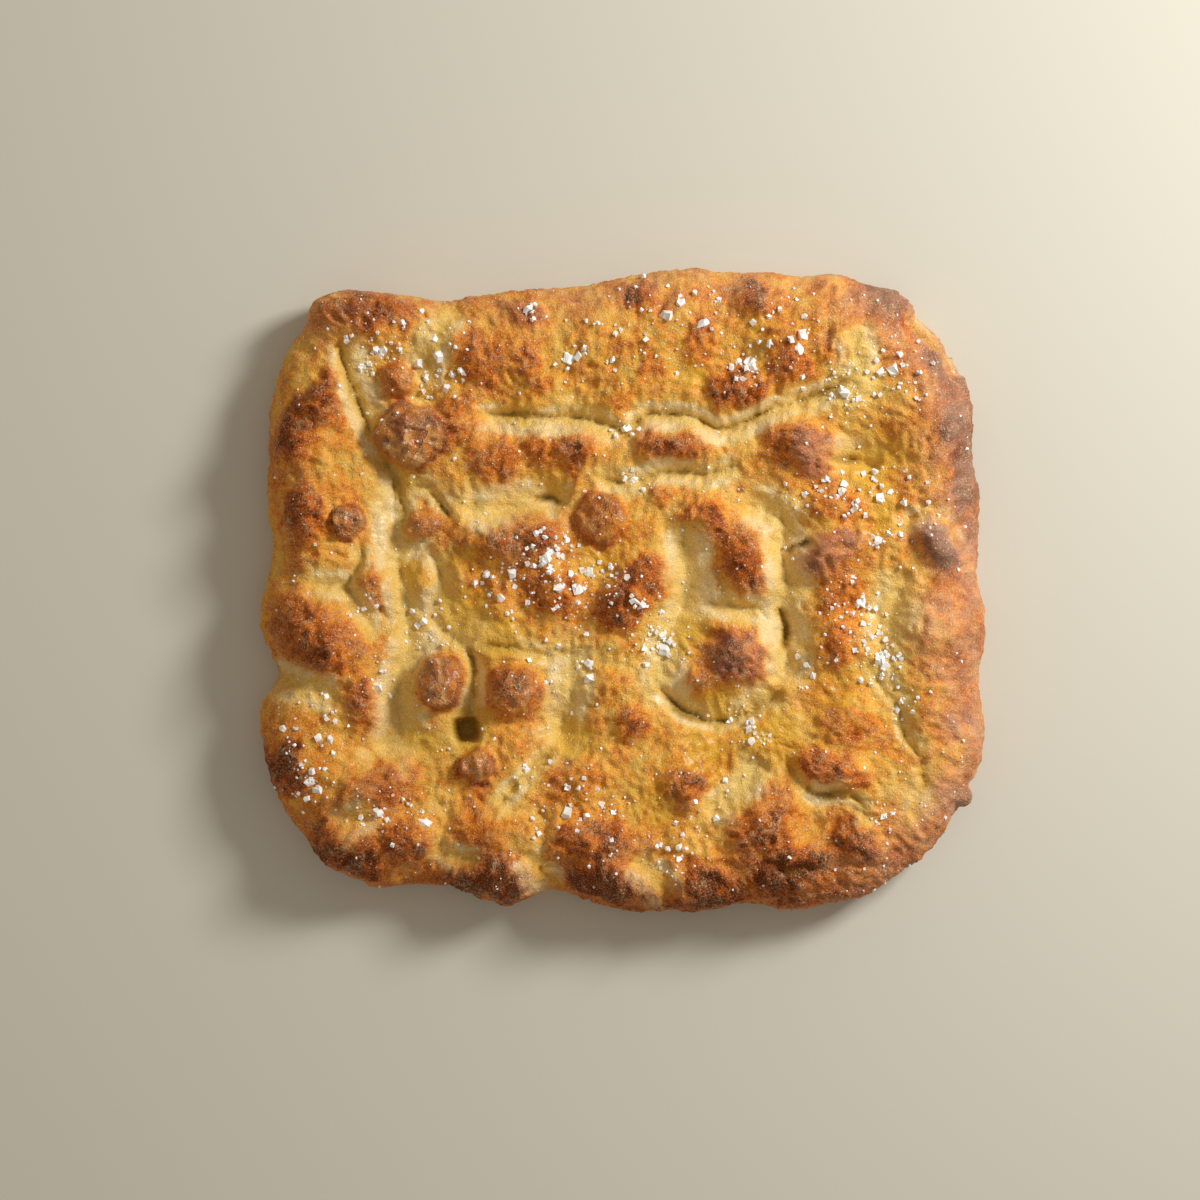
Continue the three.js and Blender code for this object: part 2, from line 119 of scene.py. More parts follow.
def grain(points: Array, size: float, kind: Grain = Grain.LUMPS, octaves: int = 3) -> Array:
    """Noise at points. A number added to all the points picks another part of the same noise.

    Args:
        points: places in millimetres, one a row.
        size: width of one lump or wrinkle in millimetres.
        kind: rounded or ragged lumps about 0, sharp ridges from 0 up, tilted flakes like those of
            crumpled paper, or small domes with creases between them.
        octaves: how many times finer detail is added.

    Returns:
        One value a point, mostly from -1 to 1.
    """
    spots = [Vector(p) for p in (points / size).tolist()]
    if kind is Grain.LUMPS:
        values = [noise.fractal(spot, 0.9, 2.1, octaves) for spot in spots]
    elif kind is Grain.RAGGED:
        values = [noise.fractal(spot, 0.4, 2.2, octaves) for spot in spots]
    elif kind is Grain.WRINKLES:
        values = [noise.ridged_multi_fractal(spot, 0.9, 2.2, octaves, 1.0, 1.6) for spot in spots]
    else:
        found = [noise.voronoi(spot)[:2] for spot in spots]
        if kind is Grain.COBBLES:
            values = [0.5 - 1.5 * near[0] ** 2 for near, _ in found]
        else:
            values = []
            for spot, (near, cells) in zip(spots, found):
                tilt = noise.noise_vector(cells[0] * 3.7).normalized()
                border = max(0.0, 1 - (near[1] - near[0]) / 0.3)
                values.append(1.1 * tilt.dot(spot - cells[0]) + 0.5 * border)
    return np.array(values)


def wrinkled(points: Array, size: float, octaves: int) -> Array:
    """Wrinkles that stand as far out as they sink in.

    Args:
        points: places in millimetres, one a row.
        size: width of one wrinkle in millimetres.
        octaves: how many times finer detail is added.

    Returns:
        One value a point, about 0.
    """
    return grain(points, size, Grain.WRINKLES, octaves) - 0.9


@dataclass(frozen=True)
class Fold:
    """A dent drawn through the dough, or a fold between two pillows.

    A sharp one closes in a tight seam. The lean makes the valley wider on the left of its path, or
    on the right where it is negative. A baked one is browned like the crust round it.
    """

    depth: float
    width: float
    sharp: float
    lean: float
    path: tuple[tuple[float, float], ...]
    baked: float = 0.0
    steps: int = 28

    def line(self) -> Array:
        """Smooth curve through the path.

        Returns:
            Points along the curve, one a row.
        """
        ends = np.array([self.path[0], *self.path, self.path[-1]], float)
        count = len(self.path) - 1
        points = []
        for step in range(self.steps + 1):
            along = count * step / self.steps
            i = min(int(along), count - 1)
            p0, p1, p2, p3 = ends[i : i + 4]
            points.append(between(p1, p2, (p2 - p0) / 2, (p3 - p1) / 2, along - i))
        return np.array(points)

    def nearest(self, x: Array, y: Array) -> tuple[Array, Array, Array]:
        """How each place lies beside the fold.

        Args:
            x: places across.
            y: places in depth.

        Returns:
            Distance from the fold, how far along it from 0 to 1, and 1 on its left or -1 on its
            right.
        """
        line = self.line()
        best = np.full(x.shape, np.inf)
        along = np.zeros(x.shape)
        side = np.ones(x.shape)
        for i, (start, end) in enumerate(zip(line[:-1], line[1:])):
            dx, dy = end - start
            t = np.clip(((x - start[0]) * dx + (y - start[1]) * dy) / (dx * dx + dy * dy), 0, 1)
            distance = np.hypot(x - start[0] - t * dx, y - start[1] - t * dy)
            closer = distance < best
            best = np.where(closer, distance, best)
            along = np.where(closer, (i + t) / self.steps, along)
            turn = np.sign(dx * (y - start[1]) - dy * (x - start[0]))
            side = np.where(closer, turn, side)
        return best, along, side


@dataclass(frozen=True)
class Bubble:
    """A blister or pillow raised in the crust, browned more where it stands higher.

    A crumpled one has a skin of flat glossy flakes, and one with dust a greyish film that is
    partly painted sheen.
    """

    x: float
    y: float
    long: float
    short: float
    turn: float
    rise: float
    brown: float
    crumple: float = 0.0
    dust_and_sheen: float = 0.0

    def ratio(self, x: Array, y: Array) -> Array:
        """Distance from the middle, as a share of the bubble's own half size.

        Args:
            x: places across.
            y: places in depth.

        Returns:
            0 in the middle and 1 at the edge.
        """
        c, s = math.cos(math.radians(self.turn)), math.sin(math.radians(self.turn))
        dx, dy = x - self.x, y - self.y
        return np.hypot((c * dx + s * dy) / self.long, (c * dy - s * dx) / self.short)


OUTLINE = (
    (142, 12), (141, 48), (136, 84), (117, 113), (97, 121), (48, 127.5), (10, 126), (-37, 119),
    (-69, 117), (-103, 119), (-121, 116), (-128, 102), (-142, 72), (-141, 52), (-142.5, 35),
    (-140.5, 15), (-144, -14), (-139.5, -33), (-144, -47), (-139, -74), (-129, -96), (-104, -116),
    (-79, -119.5), (-66, -117.5), (-50, -123.5), (-27, -122), (1, -128), (37, -125.5), (80, -126),
    (110, -114), (133, -90), (144, -58), (143, -28),
)

FOLDS = (
    # Left side: the long fold inside the rolled rim, the cracks beside it and across the rim.
    Fold(12, 5, 0.7, 0.3, ((-113, 100), (-108, 82), (-102, 68), (-96, 56), (-92, 46), (-90, 35))),
    Fold(
        10, 7, 0.3, 0.2,
        ((-90, 38), (-90, 20), (-86, -5), (-85, -20), (-89, -40), (-89, -56), (-97, -66)),
    ),
    Fold(6, 4, 0.7, 0, ((-91, 47), (-87, 36), (-85, 22))),
    Fold(8, 5, 0.4, 0.5, ((-75, 15), (-73, 5), (-76, -8), (-73, -15), (-61, -24))),
    Fold(10, 3, 0.8, 0, ((-60, -23), (-59, -38), (-61, -54))),
    Fold(4, 5, 0.3, 0, ((-142, -35), (-124, -39), (-112, -43))),
    Fold(4, 4, 0.5, 0, ((-125, 3), (-110, 1), (-103, -8), (-100, -22))),
    Fold(4, 3, 0.6, 0, ((-103, 18), (-104, 9), (-110, 1))),
    Fold(4, 5, 0.3, 0, ((-113, -94), (-100, -87))),
    # Far side: the seam under the top band, from the left corner to the right one.
    Fold(4, 5, 0.4, 0, ((-67, 116), (-70, 106), (-76, 94), (-79, 78))),
    Fold(4, 4, 0.6, 0, ((-83, 78), (-74, 75))),
    Fold(8, 4, 0.6, -0.3, ((-58, 69), (-44, 70), (-33, 68), (-18, 69), (2, 63))),
    Fold(9, 3.7, 0.7, -0.2, ((2, 63), (10, 70), (28, 69), (40, 64), (60, 72), (78, 78), (92, 86))),
    Fold(4, 6, 0.3, 0, ((89, 105), (93, 94), (91, 84))),
    # Middle: the second seam and the rings of dents round the large pillows.
    Fold(9, 6, 0.4, 0, ((-63, 33), (-52, 31), (-38, 35), (-29, 37), (-22, 34))),
    Fold(4, 3.5, 0.6, 0, ((-85, 40), (-78, 41), (-70, 32))),
    Fold(6, 3.8, 0.6, 0, ((-10, 45), (5, 43), (19, 47), (35, 46), (47, 50))),
    Fold(4, 3, 0.7, 0, ((-59, -23), (-45, -22), (-30, -26), (-21, -24))),
    Fold(7, 6, 0.2, 0, ((-20, -22), (-20, -36), (-23, -52), (-27, -63))),
    Fold(4, 3, 0.6, 0, ((-27, -63), (-38, -74), (-50, -85))),
    Fold(8, 6, 0.25, 0.2, ((24, 28), (25, 10), (24, -7), (17, -20), (14, -39))),
    Fold(11, 4.5, 0.8, 0.4, ((14, -38), (22, -46), (34, -52), (50, -49), (63, -41))),
    Fold(
        9, 6, 0.4, 0,
        ((64, -38), (66, -28), (64, -10), (66, 2), (64, 16), (65, 26), (57, 32), (47, 35)),
    ),
    Fold(12, 3, 1, 0, ((62, -7), (65, -14), (65, -24))),
    Fold(6, 4, 0.5, 0, ((28, -5), (46, -7), (61, -7))),
    # Right side: short slits, the fold under the log-shaped bubble and the split along the rim.
    Fold(6, 2.2, 1, 0, ((66, 15), (75, 19))),
    Fold(9, 4, 0.8, 0.5, ((84, 52), (94, 52), (102, 48))),
    Fold(4, 3, 0.6, 0, ((109, 22), (118, 30), (128, 27), (133, 17))),
    Fold(3.5, 7, 0.2, 0, ((112, 8), (109, -6), (101, -27))),
    Fold(4, 3, 0.7, 0.3, ((98, -29), (105, -40), (109, -46), (112, -57), (118, -66))),
    Fold(3.5, 3, 0.6, 0, ((118, -67), (119, -77), (113, -90))),
    Fold(6, 3, 0.7, 0, ((73, -78), (79, -81), (88, -80))),
    Fold(3.5, 2.5, 0.7, 0, ((90, -81), (95, -86), (96, -94))),
    Fold(6, 2.5, 0.95, 0, ((116, 111), (123, 101), (129, 92), (133, 83))),
    # Near side: valleys that run out over the front edge.
    Fold(4, 4, 0.4, 0, ((-75, -101), (-67, -106), (-56, -107))),
    Fold(6, 5, 0.4, 0, ((-39, -104), (-33, -111), (-26, -122))),
    Fold(6, 5, 0.4, 0, ((4, -106), (13, -114), (20, -122))),
    Fold(6, 5, 0.3, 0, ((33, -88), (45, -81), (57, -68))),
    # Folds between the near pillows.
    Fold(6, 3.5, 0.6, 0.3, ((54, -104), (64, -111), (80, -110)), 1),
    Fold(5, 3.5, 0.5, 0, ((70, -101), (80, -93), (94, -87)), 0.7),
    Fold(5, 3.5, 0.5, 0, ((50, -76), (42, -90), (28, -100)), 0.7),
    Fold(4, 3, 0.5, 0, ((-36, -85), (-30, -94), (-34, -104)), 0.5),
    Fold(4, 3, 0.5, 0, ((-72, -84), (-70, -94), (-74, -104)), 0.5),
    # Short dark slits.
    Fold(4, 1.5, 1, 0, ((-45, 70.5), (-36, 70), (-29, 68))),
    Fold(4, 1.5, 1, 0, ((-72, 33), (-69, 30))),
    Fold(5, 2, 1, 0, ((-35, 36), (-29, 37), (-24, 35.5))),
    Fold(4, 1.5, 1, 0, ((88, 52), (95, 51))),
    Fold(4, 1.5, 1, 0, ((20, -47), (30, -52), (40, -51.5))),
    Fold(4, 1.5, 1, 0, ((77, -80), (84, -81.5))),
)

# Square-sided finger holes: x, y, half width, depth and turn.
HOLES = ((-61.5, -55.5, 5.0, 12, 8),)

# Hollows pressed straight down: x, y, radius and depth.
HOLLOWS = (
    (-62, -54, 9, 2), (-29, 37, 6, 4), (-23, -53, 8, 4), (101, 54, 15, 5), (-115, -57, 14, 3.5),
    (46, 102, 11, 3), (31, 84, 10, 2.5), (68, -71, 4, 5), (109, -58, 10, 2.5), (-58, -6, 12, 4),
    (68, -16, 5, 4),
)

BUBBLES = tuple(
    Bubble(*row)
    for row in (
        # Far band.
        (-100, 110, 20, 8, 0, 2, 0.65), (7, 117, 10, 6, -5, 2, 0.85), (51, 115, 8, 6, 0, 2.5, 0.85),
        (103, 115, 12, 7, -15, 2, 0.85), (31, 97, 8, 10, 0, 1.5, 0.5),
        (61, 99, 8, 6, -20, 1.5, 0.7), (86, 98, 10, 9, 0, 2, 0.65), (66, 88, 8, 7, 0, 3, 0.85),
        (41, 79, 7, 7, 0, 3.5, 0.9), (51, 81, 8, 8, 0, 3.5, 0.85), (-57, 93, 13, 9, -35, 2, 0.5),
        (-37, 88, 11, 6, -65, 2, 0.5), (-89, 83, 7, 7, 0, 3.5, 0.85, 0.35),
        (-37, 110, 7, 5, 0, 1.5, 0.75), (11, 90, 6, 4, 0, 1, 0.6),
        # Second strip.
        (-84, 61, 14, 13, 0, 5, 0.9, 1), (-64, 66, 10, 11, 0, 2.5, 0.65),
        (-50, 51, 14, 9, -50, 3, 0.7), (-17, 58, 10, 8, 0, 4, 0.85), (-31, 56, 9, 7, 0, 2, 0.5),
        (13, 58, 9, 8, 0, 3.5, 0.8), (27, 57, 10, 8, 0, 4, 0.8), (66, 60, 11, 10, 0, 3.8, 0.75),
        (77, 55, 11, 10, 0, 3.8, 0.85, 0, 0.5), (-115, 75, 13, 8, 75, 3, 0.8),
        (-131, 60, 12, 8, 80, 1.5, 0.8), (-123, 70, 15, 9, 60, 0.4, 0.7),
        # Middle strip.
        (-125, 29, 12, 9, 80, 3, 0.85), (-108, 27, 6, 7, 0, 3, 0.85, 0.9),
        (-80, 26, 8, 6, 20, 3, 0.7, 0.5), (-96, 1, 11, 8, -45, 4, 0.8), (-80, 2, 7, 8, 0, 3, 0.65),
        (-64, 5, 6, 8, 0, 2.5, 0.5), (-54, 20, 9, 10, 0, 4, 0.85),
        (-38, 20, 14, 11, 10, 4.5, 0.9, 0.15), (-28, 0, 11, 11, 0, 3.5, 0.75),
        (-50, -5, 6, 9, 0, 2, 0.4), (-8, 29, 10, 10, 0, 3.5, 0.75, 0.5),
        (9, 3, 15, 11, 15, 5.5, 0.85), (-1, -7, 10, 9, 0, 4, 0.85), (15, 38, 6, 5, 0, 2.5, 0.75),
        (32, 28, 11, 10, 0, 4.5, 1.05), (47, 18, 9, 10, 0, 3.5, 0.8), (53, 7, 12, 12, -30, 5, 0.8),
        (48, -26, 14, 12, 20, 6, 1.05, 0, 0.4), (30, -36, 9, 7, -20, 3, 0.6),
        (40, -13, 9, 6, 0, 2, 0.45),
        # Right side.
        (82, 15, 17, 9, 22, 5, 0.85, 0, 0.5), (125, 20, 12, 8, -60, 4.5, 1.15, 0, 0.8),
        (123, -15, 13, 13, 0, 3, 0.2, 0, 0.3), (83, 33, 12, 7, 5, 2, 0.65),
        (87, 0, 10, 10, 0, 2, 0.7), (88, -20, 12, 11, 0, 3, 0.65), (90, -53, 13, 10, 0, 3, 0.6),
        (79, -71, 10, 7, -25, 3.6, 0.75), (91, -74, 8, 7, 0, 3.2, 0.7),
        (138, -82, 4, 3, 60, 3, 0.7), (134, 52, 8, 22, 5, 1, 0.9, 0, 0.2),
        (128, 90, 9, 15, 30, 1, 0.75, 0, 0.3),
        # Left side and its corner.
        (-127, -16, 16, 15, 0, 4, 0.6), (-111, -25, 13, 12, 0, 4.5, 0.75),
        (-101, -47, 8, 12, 0, 4, 0.75), (-92, -22, 5, 14, -12, 2, 0.75),
        (-72, -37, 10, 11, 0, 5, 0.95, 0.9), (-43, -41, 12, 10, -15, 5, 0.95, 0.4),
        (-57, -69, 7, 7, 0, 3.5, 0.95, 0.8), (-89, -74, 12, 9, 0, 3.5, 0.75),
        (-101, -80, 11, 9, 0, 3, 0.7), (-134, -70, 9, 14, -10, 2, 0.85),
        # Near strip.
        (-110, -101, 18, 10, -30, 4, 0.8), (-85, -98, 11, 9, 0, 3, 0.75),
        (-57, -94, 14, 9, 0, 3, 0.5), (-47, -114, 19, 8, 0, 3, 0.9), (-18, -74, 13, 8, 0, 2.5, 0.5),
        (4, -52, 9, 7, 0, 3, 0.7), (-6, -38, 11, 7, 0, 2, 0.4), (-12, -99, 19, 9, 0, 3, 0.8),
        (-3, -115, 18, 8, -5, 3.5, 0.95), (27, -79, 11, 9, 0, 4, 0.9),
        (54, -90, 17, 16, 0, 5.5, 0.8), (67, -110, 17, 9, 15, 4, 1.0),
        (65, -111, 10, 5, 5, 0.3, 1.3), (92, -98, 13, 8, -35, 3.5, 0.85),
        (27, -118, 21, 8, 0, 3, 0.9),
    )
)

# Where oil stands on the crust: x, y and radius.
POOLS = (
    (-66, -8, 13), (-58, 14, 9), (-47, -20, 12), (28, -20, 10), (-85, 45, 8), (-93, 62, 8),
    (-60, -55, 10), (-20, -58, 10), (33, -68, 12), (15, -85, 13), (100, 52, 15), (57, 105, 9),
    (30, 85, 8), (60, -58, 12), (85, -40, 10), (103, 25, 9), (-28, 44, 8), (-82, 5, 7),
    (-80, -60, 9), (38, -45, 9), (-5, 15, 8), (-40, 74, 9),
)

# Where salt fell thickest: x, y, spread and number of large flakes.
DRIFTS = (
    (-99, 95, 5, 3), (-78, 92, 9, 3), (-69, 81, 2, 1), (-37, 110, 1, 1), (-15, 93, 7, 2),
    (21, 106, 12, 3), (49, 90, 4, 2), (67, 95, 10, 3), (90, 78, 5, 3), (109, 88, 8, 3),
    (2, 64, 2, 1), (6, 43, 2, 1), (71, 38, 3, 1), (89, 39, 4, 2), (109, 34, 8, 3), (102, 20, 2, 1),
    (-29, 15, 4, 4), (-20, 4, 9, 5), (-45, 2, 7, 3), (5, -2, 6, 2), (16, -20, 5, 3), (92, -6, 5, 3),
    (99, -17, 4, 2), (101, -29, 4, 3), (108, -45, 5, 1), (50, -57, 4, 2), (-77, -13, 5, 2),
    (-103, -7, 2, 1), (-120, -56, 7, 2), (-123, -77, 4, 2), (-92, -89, 5, 2), (-77, -90, 4, 1),
    (-37, -69, 4, 1), (-16, -87, 11, 4), (24, -103, 5, 2), (31, -82, 5, 1), (-15, -24, 14, 2),
    (-97, -38, 2, 1), (77, -32, 4, 1), (102, -89, 2, 1),
)


@dataclass
class Crust:
    """What the surface is like at a set of places.

    How far it stands off, how it is baked, and the shade and sheen painted on it.
    """

    offset: Array
    brown: Array
    pale: Array
    oil_and_shade: Array
    dry_bloom_and_sheen: Array
    peel: Array
    seam: Array


@dataclass
class Warp:
    """Small shifts of places, so that no dent or brown patch is a true oval."""

    x: Array
    y: Array
    ragged_x: Array
    ragged_y: Array
    bend_size: ClassVar[float] = 15
    bend: ClassVar[float] = 3.0
    fray_size: ClassVar[float] = 8
    fray: ClassVar[float] = 2.9

    @classmethod
    def at(cls, places: Array) -> "Warp":
        """Works out the shifts.

        Args:
            places: places in millimetres, one a row.

        Returns:
            Smooth shifts for the relief and ragged ones for the colours.
        """
        x = cls.bend * grain(places, cls.bend_size, octaves=2)
        y = cls.bend * grain(places + 57, cls.bend_size, octaves=2)
        ragged_x = x + cls.fray * grain(places + 23, cls.fray_size, Grain.RAGGED, octaves=4)
        ragged_y = y + cls.fray * grain(places + 91, cls.fray_size, Grain.RAGGED, octaves=4)
        return cls(x, y, ragged_x, ragged_y)


@dataclass
class Loaf:
    """The bread: one closed skin with its dents, bubbles, baked colours, painted shade and sheen.

    Sizes are in millimetres and are those of the solid, but for a gentler pinch.
    """

    top_height: float = 28.0
    rim_rise: float = 4.0
    rim_inset: float = 24.0
    rim_spread: float = 15.0
    roll: float = 19.0
    bulge_height: float = 12.0
    undercut: float = 9.0
    plump: float = 1.4
    pinch: float = 1.0
    slit_depth: float = 4.0
    slit_width: float = 1.0

    # The waves of the top: how many, how high, and the length of the first and what each loses.
    waves: int = 6
    swell: float = 0.5
    wave_length: float = 64.0
    wave_step: float = 8.0

    # How far the fine relief stands out: rounded lumps, wrinkles, cobbles and the rim's streaks.
    lumps: float = 0.8
    wrinkles: float = 2.3
    cobbles: float = 1.4
    streaks: float = 0.3

    # Crumpled blisters: their own rise, the groove at their foot, and the flakes of their skin.
    blister_rise: float = 3.0
    blister_groove: float = 1.1
    flakes: float = 2.0

    # How dark the crust bakes away from bubbles, and what the rim adds all round and on its sides.
    golden: float = 0.34
    rim_brown: float = 0.16
    left_brown: float = -0.05
    near_brown: float = 0.15
    right_brown: float = 0.16

    # Rings of points: on the top, on the rounded side above its bulge, and below the bulge.
    rings: int = 128
    roll_steps: int = 17
    under_steps: int = 6

    # The underside's inner rings keep half of the rim's points, a quarter and so on, down to one in
    # the number of the thinning. The same share, times the spread, is how far out a ring lies.
    under_spread: float = 1.6
    under_thinning: int = 16
    seed: int = 71

    # How far the bread was shifted to centre it, known once it is built.
    middle: Vector = field(default_factory=Vector)

    def outline_radius(self, angle: Array) -> Array:
        """Radius of the outline.

        Args:
            angle: directions from the middle, in radians.

        Returns:
            Radius in each direction, on one smooth curve through the outline's points.
        """
        points = np.array(OUTLINE, float)
        angles = np.arctan2(points[:, 1], points[:, 0])
        order = np.argsort(angles)
        angles, radii = angles[order], np.hypot(points[:, 0], points[:, 1])[order]
        turn = 2 * np.pi
        a = np.concatenate([angles[-2:] - turn, angles, angles[:2] + turn])
        r = np.concatenate([radii[-2:], radii, radii[:2]])
        turned = np.arctan2(np.sin(angle), np.cos(angle))
        after = np.searchsorted(angles, turned, side="right") + 2
        a0, a1, a2, a3 = (a[after + shift] for shift in (-2, -1, 0, 1))
        r0, r1, r2, r3 = (r[after + shift] for shift in (-2, -1, 0, 1))
        span = a2 - a1
        leave = (r2 - r0) / (a2 - a0) * span
        arrive = (r3 - r1) / (a3 - a1) * span
        return between(r1, r2, leave, arrive, (turned - a1) / span)

    def plain_height(self, inset: Array) -> Array:
        """Height of the plain top, which swells into the rolled rim."""
        return self.top_height + self.rim_rise * gauss((inset - self.rim_inset) / self.rim_spread)

    def crust(self, x: Array, y: Array, inset: Array, height: Array) -> Crust:
        """Works out the dents, bubbles and baked colours at places on the plain loaf.

        Also the shade and sheen painted there.

        Args:
            x: places across.
            y: places in depth.
            inset: distance in from the outline, below 0 under the bulge.
            height: height of the plain surface.

        Returns:
            The crust there.
        """
        places = np.stack([x, y, height], 1)
        warp = Warp.at(places)
        raised, bare, crumple, flakes, dust_and_sheen = self.blisters(places, warp)
        sunk, seam, basin, lip = self.valleys(places, warp)
        rim = gauss((inset - 2) / 20)
        left, near = smooth(-60, -130, x), smooth(-70, -120, y)
        right, far = smooth(70, 130, x), smooth(80, 125, y)

        golden = self.golden + 0.15 * grain(places, 31, octaves=2)
        golden += 0.18 * grain(places + 5, 10, Grain.RAGGED, octaves=4)
        brown = 1 - (1 - golden) * bare
        brown += rim * (
            self.rim_brown
            + self.left_brown * left
            + self.near_brown * near
            + self.right_brown * right
        )
        shell = np.sqrt(crumple)
        basin, lip = basin * (1 - 0.9 * shell), lip * (1 - 0.9 * shell)
        brown *= 1 - 0.92 * np.maximum(basin, 0.45 * lip) * (1 - 0.4 * rim)
        brown = np.clip(brown, 0, 1.15)

        wet = np.zeros(x.shape)
        for px, py, radius in POOLS:
            distance = np.hypot(x + warp.ragged_x - px, y + warp.ragged_y - py)
            wet = np.maximum(wet, 1 - smooth(0.35, 1.3, distance / radius))
        # Oil stands in the pools; along the closed folds and deep in the valleys the same share paints
        # the saturated gold of shade.
        oil_and_shade = np.maximum(np.maximum(0.9 * seam**0.5, wet), 0.35 * basin**3)
        # Painted sheen, partly a dry bloom: pale tan over the rim, most on the right and far sides
        # that face the lamp, and over bubbles with dust.
        patchy = 0.8 + 0.7 * grain(places + 61, 14, Grain.RAGGED, octaves=4)
        dry_bloom_and_sheen = np.clip(rim * (0.95 * right + 0.4 * far) * patchy * (1 - basin) + dust_and_sheen, 0, 1)

        # The browner the crust, the rougher its skin. Streaks are wrinkles drawn out in depth.
        skin = (0.3 + 0.7 * np.minimum(brown, 1) ** 1.3) * (1 - crumple)
        skin *= 1 - 0.5 * gauss(inset / 7)
        drawn = places * np.array([1.0, 0.28, 1.0])
        relief = raised - sunk * (1 - 0.7 * crumple)
        relief += self.lumps * grain(places, 8, octaves=3)
        relief += skin * self.wrinkles * wrinkled(places + 11, 5.0, 4)
        relief += skin * self.cobbles * grain(places + 43, 7.0, Grain.COBBLES)
        relief += self.streaks * rim * right * wrinkled(drawn, 4.5, 3)
        relief += self.flakes * crumple * flakes
        cream = lip * np.clip(0.75 + 1.1 * grain(places + 13, 11, octaves=3), 0, 1.2) + 0.3 * basin
        pale = np.clip(cream * (1 - 0.6 * wet), 0, 1)
        return Crust(relief, brown, pale, oil_and_shade, dry_bloom_and_sheen, crumple, seam)

    def blisters(self, places: Array, warp: Warp) -> tuple[Array, Array, Array, Array, Array]:
        """Waves, blisters and pillows of the top.

        Args:
            places: places in millimetres, one a row.
            warp: their shifts.

        Returns:
            How far the crust is raised, the share that they leave unbrowned, how crumpled it is, the
            relief of its flakes there, and how much dust and painted sheen it has.
        """
        x, y = places[:, 0], places[:, 1]
        raised, bare = np.zeros(x.shape), np.ones(x.shape)
        crumple, flakes, dust_and_sheen = np.zeros(x.shape), np.zeros(x.shape), np.zeros(x.shape)
        for i in range(self.waves):
            wave = 2 * math.pi / (self.wave_length - self.wave_step * i)
            heading = i * GOLDEN_ANGLE
            along = x * math.cos(heading) + y * math.sin(heading)
            raised += self.swell * np.sin(wave * along + i * i)
        patchy = 0.85 + 0.55 * grain(places + 37, 7, Grain.RAGGED, octaves=4)
        for bubble in BUBBLES:
            ratio = bubble.ratio(x + 0.4 * warp.x, y + 0.4 * warp.y)
            raised += self.plump * bubble.rise * np.clip(1 - (ratio / 1.28) ** 2, 0, 1) ** 1.4
            ratio = bubble.ratio(x + warp.ragged_x, y + warp.ragged_y)
            core, halo = 1 - smooth(0.6, 1.2, ratio), gauss(ratio / 1.5)
            bare *= 1 - np.clip(bubble.brown * (0.68 * core * patchy + 0.2 * halo), 0, 1)
            dust_and_sheen = np.maximum(dust_and_sheen, bubble.dust_and_sheen * core)
            if bubble.crumple:
                ratio = bubble.ratio(x + 0.4 * warp.ragged_x, y + 0.4 * warp.ragged_y)
                dome = 1 - smooth(0.82, 1.06, ratio)
                crumple = np.maximum(crumple, bubble.crumple * dome)
                groove = self.blister_groove * gauss((ratio - 1.12) / 0.1)
                raised += bubble.crumple * (self.blister_rise * dome - groove)
                bare *= 1 - 0.8 * bubble.crumple * gauss((ratio - 0.97) / 0.13)
        creased = np.flatnonzero(crumple > 0)
        curls = wrinkled(places[creased] + 3, 6.0, 3)
        flakes[creased] = 0.8 * grain(places[creased] + 29, 9.0, Grain.CREASED) + 0.9 * curls
        for hx, hy, radius, depth in HOLLOWS:
            raised -= depth * gauss(np.hypot(x - hx, y - hy) / radius)
        return raised, bare, crumple, flakes, dust_and_sheen

    def valleys(self, places: Array, warp: Warp) -> tuple[Array, Array, Array, Array]:
        """Folds and finger holes.

        Args:
            places: places in millimetres, one a row.
            warp: their shifts.

        Returns:
            How deep the crust is sunk, how dark a painted shade its closed folds and hole get, and how
            near it is to a valley and to a valley's lip.
        """
        x, y = places[:, 0], places[:, 1]
        fourth, seam = np.zeros(x.shape), np.zeros(x.shape)
        basin, lip = np.zeros(x.shape), np.zeros(x.shape)
        gather = np.clip(0.9 + 1.9 * grain(places + 71, 13, octaves=3), 0.05, 1.5)
        for fold in FOLDS:
            distance, along, side = fold.nearest(x + 0.3 * warp.ragged_x, y + 0.3 * warp.ragged_y)
            distance = np.hypot(distance, 0.3)
            fade = 1 - 0.7 * (2 * along - 1) ** 6
            width = fold.width * (1 + fold.lean * side)
            soft = (1 - fold.sharp) * np.exp(-((distance / (1.6 * width)) ** 1.3))
            tight = 0.62 * fold.sharp * np.exp(-distance / (1.4 * width))
            share = fade * min(1.0, fold.depth / 5.5)
            closed = share * fold.sharp**2 * np.maximum(gather, 1.1 * fold.sharp**5)
            slit = self.slit_depth * closed * np.exp(-distance / self.slit_width)
            fourth += (self.pinch * fold.depth * fade * (soft + tight) + slit) ** 4
            # Closed folds get painted shade: a thin dark line along their bottom.
            seam = np.maximum(seam, np.minimum(closed, 1) * gauss(distance / (1.1 * self.slit_width)))
            pale = share * (1 - fold.baked)
            basin = np.maximum(basin, pale * gauss(distance / (1.3 * width)))
            lip = np.maximum(lip, pale * gauss((distance / width - 1.15) / 0.55))
        for hx, hy, half, depth, turn in HOLES:
            c, s = math.cos(math.radians(turn)), math.sin(math.radians(turn))
            dx, dy = (c * (x - hx) + s * (y - hy)) / half, (c * (y - hy) - s * (x - hx)) / half
            square = (dx**4 + dy**4) ** 0.25
            fourth += (depth * np.exp(-(square**5))) ** 4
            # The hole's floor gets the same painted shade.
            seam = np.maximum(seam, 0.75 - 0.75 * smooth(0.85, 1.1, square))
            basin = np.maximum(basin, gauss(square / 1.6))
        return fourth**0.25, seam, basin, lip

